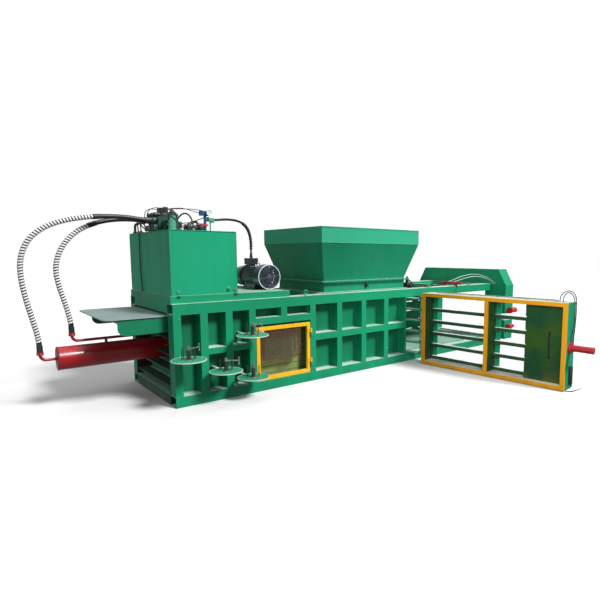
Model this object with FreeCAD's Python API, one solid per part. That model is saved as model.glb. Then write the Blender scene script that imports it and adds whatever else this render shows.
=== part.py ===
import FreeCAD, Part
import math
import os

# Horizontal recycling baler, in millimetres. The origin is on the floor, in the middle of the
# base. +X runs towards the bale exit, +Y to the far side, +Z up. The bale door stands open.

V = FreeCAD.Vector
X_AXIS = V(1, 0, 0)
Y_AXIS = V(0, 1, 0)
Z_AXIS = V(0, 0, 1)

# Press body
body_length = 6800.0
body_width = 1680.0
body_height = 1250.0
base_rail_height = 132.0
top_rail_height = 134.0
rail_depth = 200.0
tube_wall = 12.0
rib_depth = 155.0
wall_plate = 15.0
floor_plate = 15.0
roof_plate = 20.0
roof_drop = 100.0
cross_beam_width = 100.0
cross_beam_count = 6
anchor_hole_radius = 13.0
anchor_hole_inset = 90.0

# Ribs, mid rails and the access window of each side
rib_width = 94.0
rear_rib_pitch = 328.0
rear_rib_count = 4
front_rib_pitch = 493.0
front_rib_count = 4
window_width = 875.0
feed_section_length = 3955.0
end_plate = 20.0
rear_mid_rail = (600.0, 680.0)
front_mid_rail = (590.0, 690.0)
window_header = (900.0, 995.0)
access_hole_width = 624.0
access_hole_bottom = 390.0
access_hole_top = 870.0
access_hole_corner = 110.0
access_hole_setback = 160.0

# Hopper
hopper_centre_x = -185.0
neck_length = 1730.0
neck_height = 170.0
neck_plate = 10.0
hopper_flange = 60.0
flange_plate = 12.0
funnel_height = 590.0
lip_height = 236.0
spread_x = 171.5
spread_y = 184.5
hopper_sheet = 6.0

# Main cylinder and ram
cylinder_height = 620.0
barrel_radius = 136.5
bore_radius = 110.0
barrel_tail = 1060.0
tail_recess = 26.0
tail_cap = 60.0
cap_port_radius = 24.0
ram_stroke = 2000.0
piston_end_gap = 10.0
gland_spigot = 40.0
ram_to_gland = 34.0
gland_length = 80.0
gland_radius = 128.0
rod_radius = 70.0
piston_length = 90.0
crosshead_setback = 200.0
crosshead_plate = 45.0
crosshead_rib = 22.0
crosshead_top = 880.0
mount_flange_radius = 165.0
mount_flange = 45.0
seat_gap = 0.3
ram_length = 1000.0
ram_side_gap = 5.0
ram_floor_gap = 0.5
ram_skin = 25.0
ram_platen = 70.0
ram_top = 1094.0
wire_pitch = 200.0
first_wire_height = 205.0
wire_count = 5
wire_groove = 26.0
slat_wall_bays = 5
cover_sheet = 12.0
cover_rear_overhang = 700.0
cover_corner = 90.0
skirt_height = 190.0
skirt_rear_overhang = 550.0
skirt_setback = 25.0
cross_sheet_setback = 90.0

# Pipes of the main cylinder
pipe_radius = 17.0
pipe_height = 808.0
pipe_rear_overhang = 895.0
pipe_elbow_radius = 62.0
cap_elbow_reach = 126.0
fitting_radius = 33.0
fitting_length = 28.0
hose_fitting_length = 34.0
port_length = 40.0
standoff_places = (-533.0, 420.0)
standoff_half = 14.0

# Power unit
skid_length = 1650.0
skid_near_setback = 65.0
skid_far_setback = 25.0
skid_height = 85.0
skid_rail = 70.0
skid_deck = 10.0
tank_setback = 20.0
tank_length = 840.0
tank_side_setback = 5.0
tank_height = 777.0
tank_sheet = 6.0
lid_sheet = 8.0
lid_lip = 6.0
clamp_height = 62.0
drain_from_end = 120.0
drain_height = 66.0
drain_radius = 21.0
filter_x = -3187.0
filter_y = -340.0
filter_radius = 46.0
filter_height = 206.0
filter_cap_height = 28.0
manifold_x = (-3290.0, -3050.0)
manifold_y = (-150.0, 250.0)
manifold_height = 190.0
hose_port_height = 145.0
valve_body = (62.0, 150.0, 60.0)
valve_count = 3
gauge_x = -2760.0
gauge_y = -340.0
gauge_post_radius = 18.0
gauge_post_height = 214.0
gauge_dial_radius = 38.0
conduit_boss_height = 166.0
ball_valve_rise = 92.0
ball_valve_radius = 22.0
ball_valve_offset = 66.0
ball_stem_radius = 7.0
ball_lever_length = 95.0

# Motor and pump, turning about a line along Y
motor_x = -1900.0
motor_shaft_height = 180.0
motor_shell_radius = 148.0
motor_fin_radius = 170.0
motor_fin_count = 36
motor_fin = 5.0
motor_fan_y = -490.0
fan_cover_length = 140.0
fan_cover_radius = 178.0
fan_cover_sheet = 3.0
fan_cover_lap = 26.0
fan_slot_count = 24
fan_hub_radius = 46.0
fan_blade_count = 7
motor_shell_length = 480.0
motor_end_ring = 30.0
shaft_radius = 24.0
running_gap = 0.06
terminal_y = 40.0
terminal_size = 150.0
terminal_height = 92.0
terminal_neck_half = 45.0
terminal_neck_height = 32.0
terminal_sink = 8.0
terminal_boss = 30.0
bell_length = 200.0
bell_radius = 150.0
pump_length = 190.0
pump_radius = 88.0

# Bale chamber, portal and bale door
portal_thick = 280.0
portal_overhang = 310.0
portal_height = 1413.0
portal_chamfer_y = 180.0
portal_chamfer_z = 320.0
door_length = 2360.0
door_depth = 300.0
door_bottom = 15.0
door_top = 1200.0
door_member = 55.0
door_rail_gap = 15.0
door_open_angle = 85.3
door_plate_at = 1750.0
door_plate = 12.0
door_plate_setback = 105.0
door_slot_from_end = 260.0
door_slot_width = 34.0
door_slot_height = 400.0
back_flange = 14.0
back_flange_width = 68.0
edge_notch = 15.0
slat_height = 52.0
slat_depth = 60.0
ledge_height = 52.0
hinge_offset_x = 101.0
hinge_from_face = 60.0
hinge_to_door = 50.0
hinge_pin_radius = 25.0
hinge_boss_radius = 44.0
hinge_arm_thick = 25.0
hinge_arm_count = 6
hinge_first_height = 150.0
hinge_arm_pitch = 186.0
hinge_seat_gap = 0.4
lock_height = 585.0
lock_barrel_radius = 44.0
lock_barrel_length = 285.0
lock_flange_radius = 75.0
lock_flange = 25.0
lock_pocket_room = 22.0
lock_pocket_depth = 30.0
lock_units = ((722.0, 52.0, 3185.0, 3390.0), (395.0, 40.0, 3165.0, 3330.0))
lock_rod_radius = 22.0
lock_bar_half = 22.0
lock_fitting_height = 20.0

# Inspection door
inspection_gap = 7.0
inspection_height = 730.0
inspection_frame = 50.0
inspection_depth = 40.0
mesh_sheet = 3.0
hinge_leaf = 6.0
knuckle_radius = 14.0
knuckle_length = 60.0
small_pin_radius = 8.0
small_hinge_heights = (290.0, 720.0)
knob_radius = 17.0
knob_stem_radius = 9.0
knob_out = (34.0, 52.0)

# Wire reels: x, height of the disc, and how far back the arm reaches
reel_radius = 200.0
reel_disc = 8.0
reel_out = 250.0
reel_spindle_radius = 12.0
reel_hub_radius = 24.0
reel_hub_height = 120.0
reel_rod_radius = 5.0
reel_rod_circle = 80.0
reel_rod_height = 150.0
reel_rod_count = 6
reel_arm = 40.0
reel_seat_gap = 0.4
reel_places = ((-3325.0, 620.0, False), (-2873.0, 420.0, True),
               (-2508.0, 283.0, True), (-2508.0, 819.0, True))

# Hose and conduit sections
hose_radius = 30.0
conduit_radius = 16.0
door_hose_radius = 6.0

# Worked out from the sizes above
rear_x = -body_length / 2
front_x = body_length / 2
half_width = body_width / 2
wall_outer = half_width - rib_depth
half_chamber = wall_outer - wall_plate
rail_inner = half_width - rail_depth
neck_width = 2 * rail_inner
anchor_hole_y = rail_inner - anchor_hole_inset
skid_near = half_width - skid_near_setback
skid_far = half_width - skid_far_setback
tank_near = skid_near - tank_side_setback
tank_far = skid_far - tank_side_setback
top_rail_bottom = body_height - top_rail_height
floor_top = base_rail_height + floor_plate
portal_x = front_x - portal_thick
feed_end_x = rear_x + feed_section_length
rear_ribs = [rear_x + rib_width / 2 + i * rear_rib_pitch for i in range(rear_rib_count)]
window_left = rear_ribs[-1] + rib_width / 2
window_right = window_left + window_width
front_ribs = [window_right + rib_width / 2 + i * front_rib_pitch for i in range(front_rib_count)]
neck_x = (hopper_centre_x - neck_length / 2, hopper_centre_x + neck_length / 2)
neck_top = body_height + neck_height
tail_x = rear_x - barrel_tail
piston_x = tail_x + tail_recess + tail_cap + 2 * piston_end_gap
barrel_front_x = piston_x + piston_length + ram_stroke + piston_end_gap + gland_spigot
ram_rear_x = barrel_front_x + gland_length + ram_to_gland
deck_top = body_height + skid_height
tank_x = (rear_x + tank_setback, rear_x + tank_setback + tank_length)
tank_top = deck_top + tank_height
lid_top = tank_top + lid_sheet
motor_z = deck_top + motor_shaft_height
shell_y = (motor_fan_y + fan_cover_length, motor_fan_y + fan_cover_length + motor_shell_length)
terminal_bottom = motor_z + motor_shell_radius - terminal_sink + terminal_neck_height
terminal_top = terminal_bottom + terminal_height
door_face = half_width + door_rail_gap
door_outer = -(door_face + door_depth)
hinge_x = feed_end_x + hinge_offset_x
hinge_y = door_outer + hinge_from_face
door_x = (hinge_x + hinge_to_door, hinge_x + hinge_to_door + door_length)
wire_heights = [first_wire_height + i * wire_pitch for i in range(wire_count)]


def box(x0, x1, y0, y1, z0, z1):
    return Part.makeBox(x1 - x0, y1 - y0, z1 - z0, V(x0, y0, z0))


def rod(radius, start, end):
    start = V(*start)
    along = V(*end) - start
    return Part.makeCylinder(radius, along.Length, start, along)


def pipe(outer, inner, start, end):
    return rod(outer, start, end).cut(rod(inner, start, end))


def fuse(shapes):
    whole = shapes[0].fuse(list(shapes[1:])) if len(shapes) > 1 else shapes[0]
    return whole.removeSplitter()


def mirror_y(shape):
    return shape.mirror(V(0, 0, 0), Y_AXIS)


def prism(points, z0, z1):
    """A plate with the outline given in X and Y, between two heights."""
    corners = [V(x, y, z0) for x, y in points]
    face = Part.Face(Part.makePolygon(corners + corners[:1]))
    return face.extrude(V(0, 0, z1 - z0))


def box_tube_x(x0, x1, y0, y1, z0, z1):
    inner = box(x0, x1, y0 + tube_wall, y1 - tube_wall, z0 + tube_wall, z1 - tube_wall)
    return box(x0, x1, y0, y1, z0, z1).cut(inner)


def save(name, shapes):
    """Writes one named piece; a group of like pieces stays separate solids."""
    shapes = shapes if isinstance(shapes, list) else [shapes]
    solids = [solid for shape in shapes for solid in shape.Solids]
    whole = solids[0] if len(solids) == 1 else Part.makeCompound(solids)
    whole.exportStep("parts/" + name + ".step")
    print(name, len(solids), "valid" if whole.isValid() else "NOT VALID", round(whole.Volume / 1e6, 2))


def tube_along(points, radius):
    """A round cord: straight runs joined by the widest tangent arcs that its runs allow."""
    points = [V(*p) for p in points]
    runs = [(b - a).Length for a, b in zip(points, points[1:])]
    edges = []
    radii = []
    here = points[0]
    for i in range(1, len(points) - 1):
        before = (points[i] - points[i - 1]).normalize()
        after = (points[i + 1] - points[i]).normalize()
        turn = before.getAngle(after)
        reach = 0.45 * min(runs[i - 1], runs[i])
        bend = reach / math.tan(turn / 2)
        radii.append(round(bend / (2 * radius), 1))
        start = points[i] - before * reach
        end = points[i] + after * reach
        inward = (after - before).normalize()
        middle = points[i] + inward * (bend / math.cos(turn / 2) - bend)
        edges.append(Part.LineSegment(here, start).toShape())
        edges.append(Part.Arc(start, middle, end).toShape())
        here = end
    edges.append(Part.LineSegment(here, points[-1]).toShape())
    route = Part.Wire(edges)
    ring = Part.Wire(Part.makeCircle(radius, points[0], points[1] - points[0]))
    tube = route.makePipeShell([ring], True, False)
    exact = math.pi * radius ** 2 * route.Length
    fill = round(tube.Volume / exact, 4)
    print("  radii in diameters", radii, "length", round(route.Length), "volume", fill)
    return tube


# Welded body

def base_frame():
    rails = [box_tube_x(rear_x, front_x, -half_width, -rail_inner, 0, base_rail_height)]
    rails.append(mirror_y(rails[0]))
    pitch = (body_length - cross_beam_width) / (cross_beam_count - 1)
    for i in range(cross_beam_count):
        x0 = rear_x + i * pitch
        rails.append(box(x0, x0 + cross_beam_width, -rail_inner, rail_inner, 0, base_rail_height))
    middle = cross_beam_width
    rails.append(box(-middle, middle, -rail_inner, rail_inner, 0, base_rail_height))
    frame = fuse(rails)
    for x in (rear_x + cross_beam_width / 2, front_x - cross_beam_width / 2):
        for y in (-anchor_hole_y, anchor_hole_y):
            frame = frame.cut(rod(anchor_hole_radius, (x, y, -1), (x, y, base_rail_height + 1)))
    return frame


def chamber_floor():
    return box(rear_x, portal_x, -half_chamber, half_chamber, base_rail_height, floor_top)


def access_hole(y0, y1):
    right = window_right - access_hole_setback
    hole = box(right - access_hole_width, right, y0, y1, access_hole_bottom, access_hole_top)
    below = access_hole_top - 1
    edges = [e for e in hole.Edges if e.BoundBox.YLength > 1 and e.BoundBox.ZMax < below]
    return hole.makeFillet(access_hole_corner, edges)


def side_wall():
    plate = box(rear_x, feed_end_x, -wall_outer, -half_chamber, base_rail_height, top_rail_bottom)
    return plate.cut(access_hole(-wall_outer - 1, -half_chamber + 1))


def side_frame():
    """Ribs, mid rails, window header, end plate and top rail of the near side, welded as one."""
    parts = []
    for x in rear_ribs + front_ribs:
        parts.append(box(x - rib_width / 2, x + rib_width / 2, -half_width, -wall_outer,
                         base_rail_height, top_rail_bottom))
    parts.append(box(feed_end_x - end_plate, feed_end_x, -half_width, -wall_outer,
                     base_rail_height, top_rail_bottom))
    bays = [(rear_ribs[1], rear_ribs[-1], rear_mid_rail),
            (front_ribs[0], feed_end_x, front_mid_rail),
            (rear_ribs[-1], front_ribs[0], window_header)]
    for x0, x1, (z0, z1) in bays:
        parts.append(box(x0, x1 - 1, -half_width, -wall_outer, z0, z1))
    stub = (window_left + window_right) / 2
    parts.append(box(stub - rib_width / 2, stub + rib_width / 2, -half_width, -wall_outer,
                     window_header[0], top_rail_bottom))
    parts.append(box_tube_x(rear_x, portal_x, -half_width, -rail_inner, top_rail_bottom, body_height))
    return fuse(parts)


def roof_deck(x0, x1, beams):
    """Roof plate between the top rails, with its cross beams on top."""
    plate_bottom = body_height - roof_drop - roof_plate
    parts = [box(x0, x1, -rail_inner, rail_inner, plate_bottom, plate_bottom + roof_plate)]
    for x in beams:
        parts.append(box(x, x + cross_beam_width, -rail_inner, rail_inner, plate_bottom, body_height))
    return fuse(parts)


# Hopper

def rect_wire(half_x, half_y, z):
    corners = [V(hopper_centre_x + sx * half_x, sy * half_y, z)
               for sx, sy in ((-1, -1), (1, -1), (1, 1), (-1, 1))]
    return Part.makePolygon(corners + corners[:1])


def funnel_body(inset):
    half_x = neck_length / 2 - inset
    half_y = neck_width / 2 - inset
    cone = Part.makeLoft([rect_wire(half_x, half_y, neck_top),
                          rect_wire(half_x + spread_x, half_y + spread_y, neck_top + funnel_height)],
                         True, True)
    lip = box(hopper_centre_x - half_x - spread_x, hopper_centre_x + half_x + spread_x,
              -half_y - spread_y, half_y + spread_y,
              neck_top + funnel_height, neck_top + funnel_height + lip_height)
    return cone, lip


def flange_ring(z0):
    outer = box(neck_x[0] - hopper_flange, neck_x[1] + hopper_flange,
                -neck_width / 2 - hopper_flange, neck_width / 2 + hopper_flange, z0, z0 + flange_plate)
    inner = box(neck_x[0], neck_x[1], -neck_width / 2, neck_width / 2, z0, z0 + flange_plate)
    return outer.cut(inner)


def hopper_funnel():
    outer = funnel_body(0.0)
    inner = funnel_body(hopper_sheet)
    shell = outer[0].fuse(outer[1]).cut(inner[0].fuse(inner[1]))
    return fuse([shell, flange_ring(neck_top)])


def hopper_neck():
    outer = box(neck_x[0], neck_x[1], -neck_width / 2, neck_width / 2, body_height, neck_top)
    inner = box(neck_x[0] + neck_plate, neck_x[1] - neck_plate, -neck_width / 2 + neck_plate,
                neck_width / 2 - neck_plate, body_height, neck_top)
    return fuse([outer.cut(inner), flange_ring(neck_top - flange_plate), flange_ring(body_height)])


# Main cylinder

def crosshead():
    """The plate that the main cylinder bolts to, with its horizontal ribs at the rear."""
    x0 = rear_x + crosshead_setback
    plate = box(x0, x0 + crosshead_plate, -half_chamber, half_chamber, floor_top, crosshead_top)
    parts = [plate]
    for z in wire_heights[:-1]:
        parts.append(box(rear_x + 20, x0, -half_chamber, half_chamber, z, z + crosshead_rib))
    body = fuse(parts)
    ends = (rear_x, x0 + crosshead_plate)
    seat = barrel_radius + seat_gap
    body = body.cut(rod(seat, (ends[0], 0, cylinder_height), (ends[1], 0, cylinder_height)))
    clear = mount_flange_radius + 20
    body = body.cut(rod(clear, (ends[0], 0, cylinder_height), (x0, 0, cylinder_height)))
    notch = pipe_radius + 10
    return body.cut(box(ends[0], ends[1], -notch, notch, pipe_height - notch, crosshead_top))


def barrel():
    """The blind barrel with its welded tail cap, cap port and mounting flange."""
    x0 = tail_x
    x1 = barrel_front_x
    z = cylinder_height
    tube = rod(barrel_radius, (x0, 0, z), (x1, 0, z))
    tube = tube.cut(rod(bore_radius, (x0, 0, z), (x0 + tail_recess, 0, z)))
    tube = tube.cut(rod(bore_radius, (x0 + tail_recess + tail_cap, 0, z), (x1, 0, z)))
    tube = tube.cut(rod(cap_port_radius, (x0, 0, z), (x0 + tail_recess + tail_cap, 0, z)))
    flange_x = rear_x + crosshead_setback
    return fuse([tube, pipe(mount_flange_radius, barrel_radius - 2, (flange_x - mount_flange, 0, z),
                            (flange_x, 0, z))])


def cap_elbow():
    """Screwed into the tail cap, then round a quarter turn up to the hose."""
    start = tail_x + tail_recess
    bend_x = start - cap_elbow_reach
    z = cylinder_height
    radius = pipe_elbow_radius
    parts = [rod(cap_port_radius - 0.2, (start + tail_cap - 8, 0, z), (start, 0, z)),
             rod(fitting_radius, (start, 0, z), (start - fitting_length, 0, z)),
             rod(pipe_radius, (start - fitting_length, 0, z), (bend_x, 0, z))]
    ring = Part.Face(Part.Wire(Part.makeCircle(pipe_radius, V(bend_x, 0, z), X_AXIS)))
    parts.append(ring.revolve(V(bend_x, 0, z + radius), Y_AXIS, 90))
    end_x = bend_x - radius
    end_z = z + radius
    parts.append(rod(fitting_radius, (end_x, 0, end_z), (end_x, 0, end_z + hose_fitting_length)))
    return fuse(parts)


def rod_pipe():
    """The pipe along the top of the barrel to the rod end, with the standoff that carries it."""
    front = barrel_front_x + gland_length / 2
    rear = rear_x - pipe_rear_overhang + pipe_elbow_radius
    z = pipe_height
    top = cylinder_height + barrel_radius
    parts = [rod(pipe_radius, (rear, 0, z), (front, 0, z)),
             rod(pipe_radius, (front, 0, z), (front, 0, cylinder_height + gland_radius))]
    ring = Part.Face(Part.Wire(Part.makeCircle(pipe_radius, V(rear, 0, z), X_AXIS)))
    parts.append(ring.revolve(V(rear, 0, z + pipe_elbow_radius), Y_AXIS, 90))
    end_x = rear - pipe_elbow_radius
    end_z = z + pipe_elbow_radius
    parts.append(rod(fitting_radius, (end_x, 0, end_z), (end_x, 0, end_z + hose_fitting_length)))
    for place in standoff_places:
        x = rear_x + place
        parts.append(box(x - standoff_half, x + standoff_half, -standoff_half, standoff_half, top, z))
    return fuse(parts)


def gland():
    x0 = barrel_front_x
    z = cylinder_height
    ring = rod(gland_radius, (x0, 0, z), (x0 + gland_length, 0, z))
    spigot = rod(bore_radius - seat_gap, (x0 - gland_spigot, 0, z), (x0, 0, z))
    hole = rod(rod_radius + running_gap, (x0 - gland_spigot, 0, z), (x0 + gland_length, 0, z))
    return fuse([ring, spigot]).cut(hole)


def piston():
    x0 = piston_x
    z = cylinder_height
    return pipe(bore_radius - 0.35, rod_radius - 20, (x0, 0, z), (x0 + piston_length, 0, z))


def piston_rod():
    x0 = piston_x
    z = cylinder_height
    shoulder = x0 + piston_length
    return fuse([rod(rod_radius - 20, (x0, 0, z), (shoulder, 0, z)),
                 rod(rod_radius, (shoulder, 0, z), (ram_rear_x, 0, z))])


def ram_body():
    x0 = ram_rear_x
    x1 = x0 + ram_length
    half = half_chamber - ram_side_gap
    bottom = floor_top + ram_floor_gap
    block = box(x0, x1, -half, half, bottom, ram_top)
    block = block.cut(box(x0 + ram_skin, x1 - ram_platen, -half + ram_skin, half - ram_skin,
                          bottom - 1, ram_top - ram_skin))
    for z in wire_heights:
        groove = wire_groove / 2
        block = block.cut(box(x1 - ram_platen / 2, x1, -half, half, z - groove, z + groove))
    return block


def ram_cover():
    """The sheet that closes the hopper behind the ram, with side skirts and a rear cross sheet."""
    x0 = rear_x - cover_rear_overhang
    x1 = ram_rear_x + ram_length
    half = half_chamber
    z0 = ram_top
    sheet = box(x0, x1, -half + 5, half - 5, z0, z0 + cover_sheet)
    corners = [e for e in sheet.Edges if e.BoundBox.ZLength > 1 and e.BoundBox.XMax < x0 + 1]
    sheet = sheet.makeFillet(cover_corner, corners)
    skirt_x = rear_x - skirt_rear_overhang
    skirt = box(skirt_x, ram_rear_x, -half + skirt_setback, -half + skirt_setback + cover_sheet,
                z0 - skirt_height, z0)
    low = [e for e in skirt.Edges if e.BoundBox.YLength > 1 and e.BoundBox.XMax < skirt_x + 1
           and e.BoundBox.ZMax < z0 - 1]
    skirt = skirt.makeFillet(skirt_height * 0.45, low)
    cross_x = skirt_x + cross_sheet_setback
    cross = box(cross_x, cross_x + cover_sheet, -half + skirt_setback, half - skirt_setback,
                z0 - skirt_height * 0.5, z0)
    return fuse([sheet, skirt, mirror_y(skirt), cross])


# Power unit

def skid():
    x0 = rear_x
    x1 = rear_x + skid_length
    frame = box(x0, x1, -skid_near, skid_far, body_height, deck_top)
    frame = frame.cut(box(x0 + skid_rail, x1 - skid_rail, -skid_near + skid_rail, skid_far - skid_rail,
                          body_height, deck_top - skid_deck))
    middle = tank_x[1] + 60
    return fuse([frame, box(middle, middle + skid_rail, -skid_near + skid_rail, skid_far - skid_rail,
                            body_height, deck_top - skid_deck)])


def tank():
    outer = box(tank_x[0], tank_x[1], -tank_near, tank_far, deck_top, tank_top)
    inner = box(tank_x[0] + tank_sheet, tank_x[1] - tank_sheet, -tank_near + tank_sheet,
                tank_far - tank_sheet, deck_top + tank_sheet, tank_top)
    return outer.cut(inner)


def tank_lid():
    return box(tank_x[0] - lid_lip, tank_x[1] + lid_lip, -tank_near - lid_lip, tank_far + lid_lip,
               tank_top, lid_top)


def tank_clamps():
    """Four clamps that hold the tank down on the skid."""
    clamps = []
    for side, y in ((-1, -tank_near), (1, tank_far)):
        for x in (tank_x[0] + 86, tank_x[1] - 22):
            foot = sorted((y, y + side * 5))
            clamps.append(box(x - 22, x + 22, foot[0], foot[1], deck_top, deck_top + clamp_height))
    return clamps


def drain_plug():
    x = tank_x[1] - drain_from_end
    z = deck_top + drain_height
    return rod(drain_radius, (x, -tank_near, z), (x, -tank_near - 22, z))


def return_filter():
    top = lid_top + filter_height
    return fuse([rod(filter_radius, (filter_x, filter_y, lid_top), (filter_x, filter_y, top)),
                 rod(filter_radius + 16, (filter_x, filter_y, lid_top), (filter_x, filter_y, lid_top + 14))])


def filter_cap():
    base = lid_top + filter_height
    return rod(filter_radius + 5, (filter_x, filter_y, base), (filter_x, filter_y, base + filter_cap_height))


def manifold():
    top = lid_top + manifold_height
    block = box(manifold_x[0], manifold_x[1], manifold_y[0], manifold_y[1], lid_top, top)
    ports = [rod(fitting_radius, (manifold_x[0], y, hose_port_z), (hose_end_x, y, hose_port_z))
             for y in hose_port_y]
    return fuse([block] + ports)


def solenoid_valves():
    """Spool valves side by side on the manifold, each with a coil at both ends."""
    wide, long, high = valve_body
    base = lid_top + manifold_height
    gap = (manifold_y[1] - manifold_y[0] - valve_count * wide) / (valve_count + 1)
    middle = (manifold_x[0] + manifold_x[1]) / 2
    valves = []
    for i in range(valve_count):
        y0 = manifold_y[0] + gap + i * (wide + gap)
        y = y0 + wide / 2
        z = base + high / 2
        body = box(middle - long / 2, middle + long / 2, y0, y0 + wide, base, base + high)
        coil = rod(high * 0.42, (middle - long, y, z), (middle + long, y, z))
        head = box(middle - 26, middle + 26, y - 20, y + 20, base + high, base + high + 70)
        valves.append(fuse([body, coil, head]))
    return valves


def pressure_gauge():
    """The isolator block on its post, and the round gauge on the block's near face."""
    z = lid_top + gauge_post_height
    post = rod(gauge_post_radius, (gauge_x, gauge_y, lid_top), (gauge_x, gauge_y, z))
    block = box(gauge_x - 70, gauge_x + 50, gauge_y - 22, gauge_y + 22, z, z + 62)
    dial = rod(gauge_dial_radius, (gauge_x + 42, gauge_y - 22, z + 40), (gauge_x + 42, gauge_y - 52, z + 40))
    boss_z = lid_top + conduit_boss_height
    boss = rod(conduit_radius + 5, (gauge_x, gauge_y, boss_z), (gauge_x + 50, gauge_y, boss_z))
    return fuse([post, block, dial, boss])


def ball_valve():
    """The shut-off valve beside the gauge post, on its own short riser."""
    x = gauge_x - ball_valve_offset
    z = lid_top + ball_valve_rise
    riser = rod(12, (x, gauge_y, lid_top), (x, gauge_y, z))
    body = rod(ball_valve_radius, (x - 46, gauge_y, z), (gauge_x - gauge_post_radius, gauge_y, z))
    stem = rod(ball_stem_radius, (x, gauge_y - ball_valve_radius + 3, z),
               (x, gauge_y - ball_valve_radius - 16, z))
    return fuse([riser, body, stem])


def valve_handle():
    x = gauge_x - ball_valve_offset
    z = lid_top + ball_valve_rise
    y1 = gauge_y - ball_valve_radius - 2
    lever = box(x - 11, x + ball_lever_length, y1 - 8, y1, z - 11, z + 11)
    return lever.cut(rod(ball_stem_radius + running_gap, (x, y1 - 9, z), (x, y1 + 1, z)))


def along_motor(radius, y0, y1):
    return rod(radius, (motor_x, y0, motor_z), (motor_x, y1, motor_z))


def motor_body():
    y0, y1 = shell_y
    parts = [along_motor(motor_shell_radius, y0, y1)]
    fin = box(motor_x + motor_shell_radius - 4, motor_x + motor_fin_radius, y0 + 30, y1 - 30,
              motor_z - motor_fin / 2, motor_z + motor_fin / 2)
    for i in range(motor_fin_count):
        angle = (i + 0.5) * 360.0 / motor_fin_count
        if 60 < angle < 120 or 215 < angle < 325:
            continue
        turned = fin.copy()
        turned.rotate(V(motor_x, 0, motor_z), Y_AXIS, -angle)
        parts.append(turned)
    parts.append(along_motor(motor_fin_radius, y1 - motor_end_ring, y1))
    for sign in (-1, 1):
        foot_x = sorted((motor_x + sign * 60, motor_x + sign * 155))
        parts.append(box(foot_x[0], foot_x[1], y0 + 60, y1 - 60, deck_top, deck_top + 22))
        parts.append(box(motor_x + sign * 105 - 14, motor_x + sign * 105 + 14, y0 + 80, y1 - 80,
                         deck_top, deck_top + 95))
    body = fuse(parts)
    body = body.cut(along_motor(motor_shell_radius - 30, y0 + 20, y1 - 20))
    return body.cut(along_motor(shaft_radius + running_gap, y0 - 1, y1 + 1))


def fan_cover():
    y0 = motor_fan_y
    y1 = shell_y[0] + fan_cover_lap
    cup = along_motor(fan_cover_radius, y0, y1)
    cup = cup.cut(along_motor(fan_cover_radius - fan_cover_sheet, y0 + fan_cover_sheet, y1 + 1))
    for i in range(fan_slot_count):
        slot = box(motor_x + 40, motor_x + fan_cover_radius - 22, y0 - 1, y0 + fan_cover_sheet + 1,
                   motor_z - 4, motor_z + 4)
        slot.rotate(V(motor_x, 0, motor_z), Y_AXIS, i * 360.0 / fan_slot_count)
        cup = cup.cut(slot)
    lugs = []
    for angle in (45, 135, 225, 315):
        lug = box(motor_x + motor_shell_radius - 10, motor_x + fan_cover_radius - fan_cover_sheet / 2,
                  shell_y[0] + 2, y1, motor_z - 11, motor_z + 11)
        lug.rotate(V(motor_x, 0, motor_z), Y_AXIS, angle)
        lugs.append(lug.cut(along_motor(motor_shell_radius + 0.2, *shell_y)))
    return fuse([cup] + lugs)


def motor_rotor():
    y0, y1 = shell_y
    return fuse([along_motor(shaft_radius, motor_fan_y + 40, y1 + 110),
                 along_motor(motor_shell_radius - 45, y0 + 60, y1 - 60)])


def cooling_fan():
    y0 = motor_fan_y + 50
    y1 = shell_y[0] - 20
    parts = [along_motor(fan_hub_radius, y0, y1)]
    for i in range(fan_blade_count):
        blade = box(motor_x + 40, motor_x + fan_cover_radius - 28, y0 + 8, y1 - 4, motor_z - 3, motor_z + 3)
        blade.rotate(V(motor_x, 0, motor_z), Y_AXIS, i * 360.0 / fan_blade_count)
        parts.append(blade)
    return fuse(parts).cut(along_motor(shaft_radius, y0, y1))


def terminal_box():
    half = terminal_size / 2
    neck_half = terminal_neck_half
    bottom = terminal_bottom
    body = box(motor_x - half, motor_x + half, terminal_y - half, terminal_y + half, bottom, terminal_top)
    neck = box(motor_x - neck_half, motor_x + neck_half, terminal_y - neck_half, terminal_y + neck_half,
               bottom - terminal_neck_height, bottom)
    boss = rod(conduit_radius + 6, (motor_x, terminal_y, terminal_top), conduit_end)
    return fuse([body, neck, boss]).cut(along_motor(motor_shell_radius + 0.05, *shell_y))


def bell_housing():
    y0 = shell_y[1]
    y1 = y0 + bell_length
    tube = along_motor(bell_radius, y0, y1).cut(along_motor(bell_radius - 22, y0, y1 - 22))
    tube = tube.cut(along_motor(48, y1 - 23, y1 + 1))
    window = box(motor_x - bell_radius, motor_x + bell_radius, y0 + 60, y1 - 60, motor_z - 30, motor_z + 30)
    return tube.cut(window)


def shaft_coupling():
    y0 = shell_y[1] + 50
    y1 = shell_y[1] + bell_length - 26
    hub = along_motor(58, y0, y1)
    return hub.cut(along_motor(shaft_radius, y0, shell_y[1] + 110))


def pump():
    y0 = shell_y[1] + bell_length
    y1 = y0 + pump_length
    body = fuse([along_motor(pump_radius, y0, y1), along_motor(pump_radius + 26, y0, y0 + 24),
                 box(motor_x - 50, motor_x + 50, y0 + 60, y1 - 20, motor_z, motor_z + pump_radius + 32)])
    return body.cut(along_motor(40, y0, y0 + 24))


# Bale chamber and portal

def far_slat_wall():
    """The fixed slatted wall opposite the bale door: slats inside, posts outside."""
    parts = []
    edges = [floor_top] + wire_heights + [top_rail_bottom]
    for low, high in zip(edges, edges[1:]):
        z0 = low + (wire_groove if low != floor_top else 0)
        parts.append(box(feed_end_x, portal_x, half_chamber, half_chamber + slat_depth, z0, high))
    for i in range(slat_wall_bays + 1):
        x0 = feed_end_x + i * (portal_x - feed_end_x - rib_width) / slat_wall_bays
        parts.append(box(x0, x0 + rib_width, half_chamber + slat_depth, half_width,
                         base_rail_height, top_rail_bottom))
    return fuse(parts)


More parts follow.
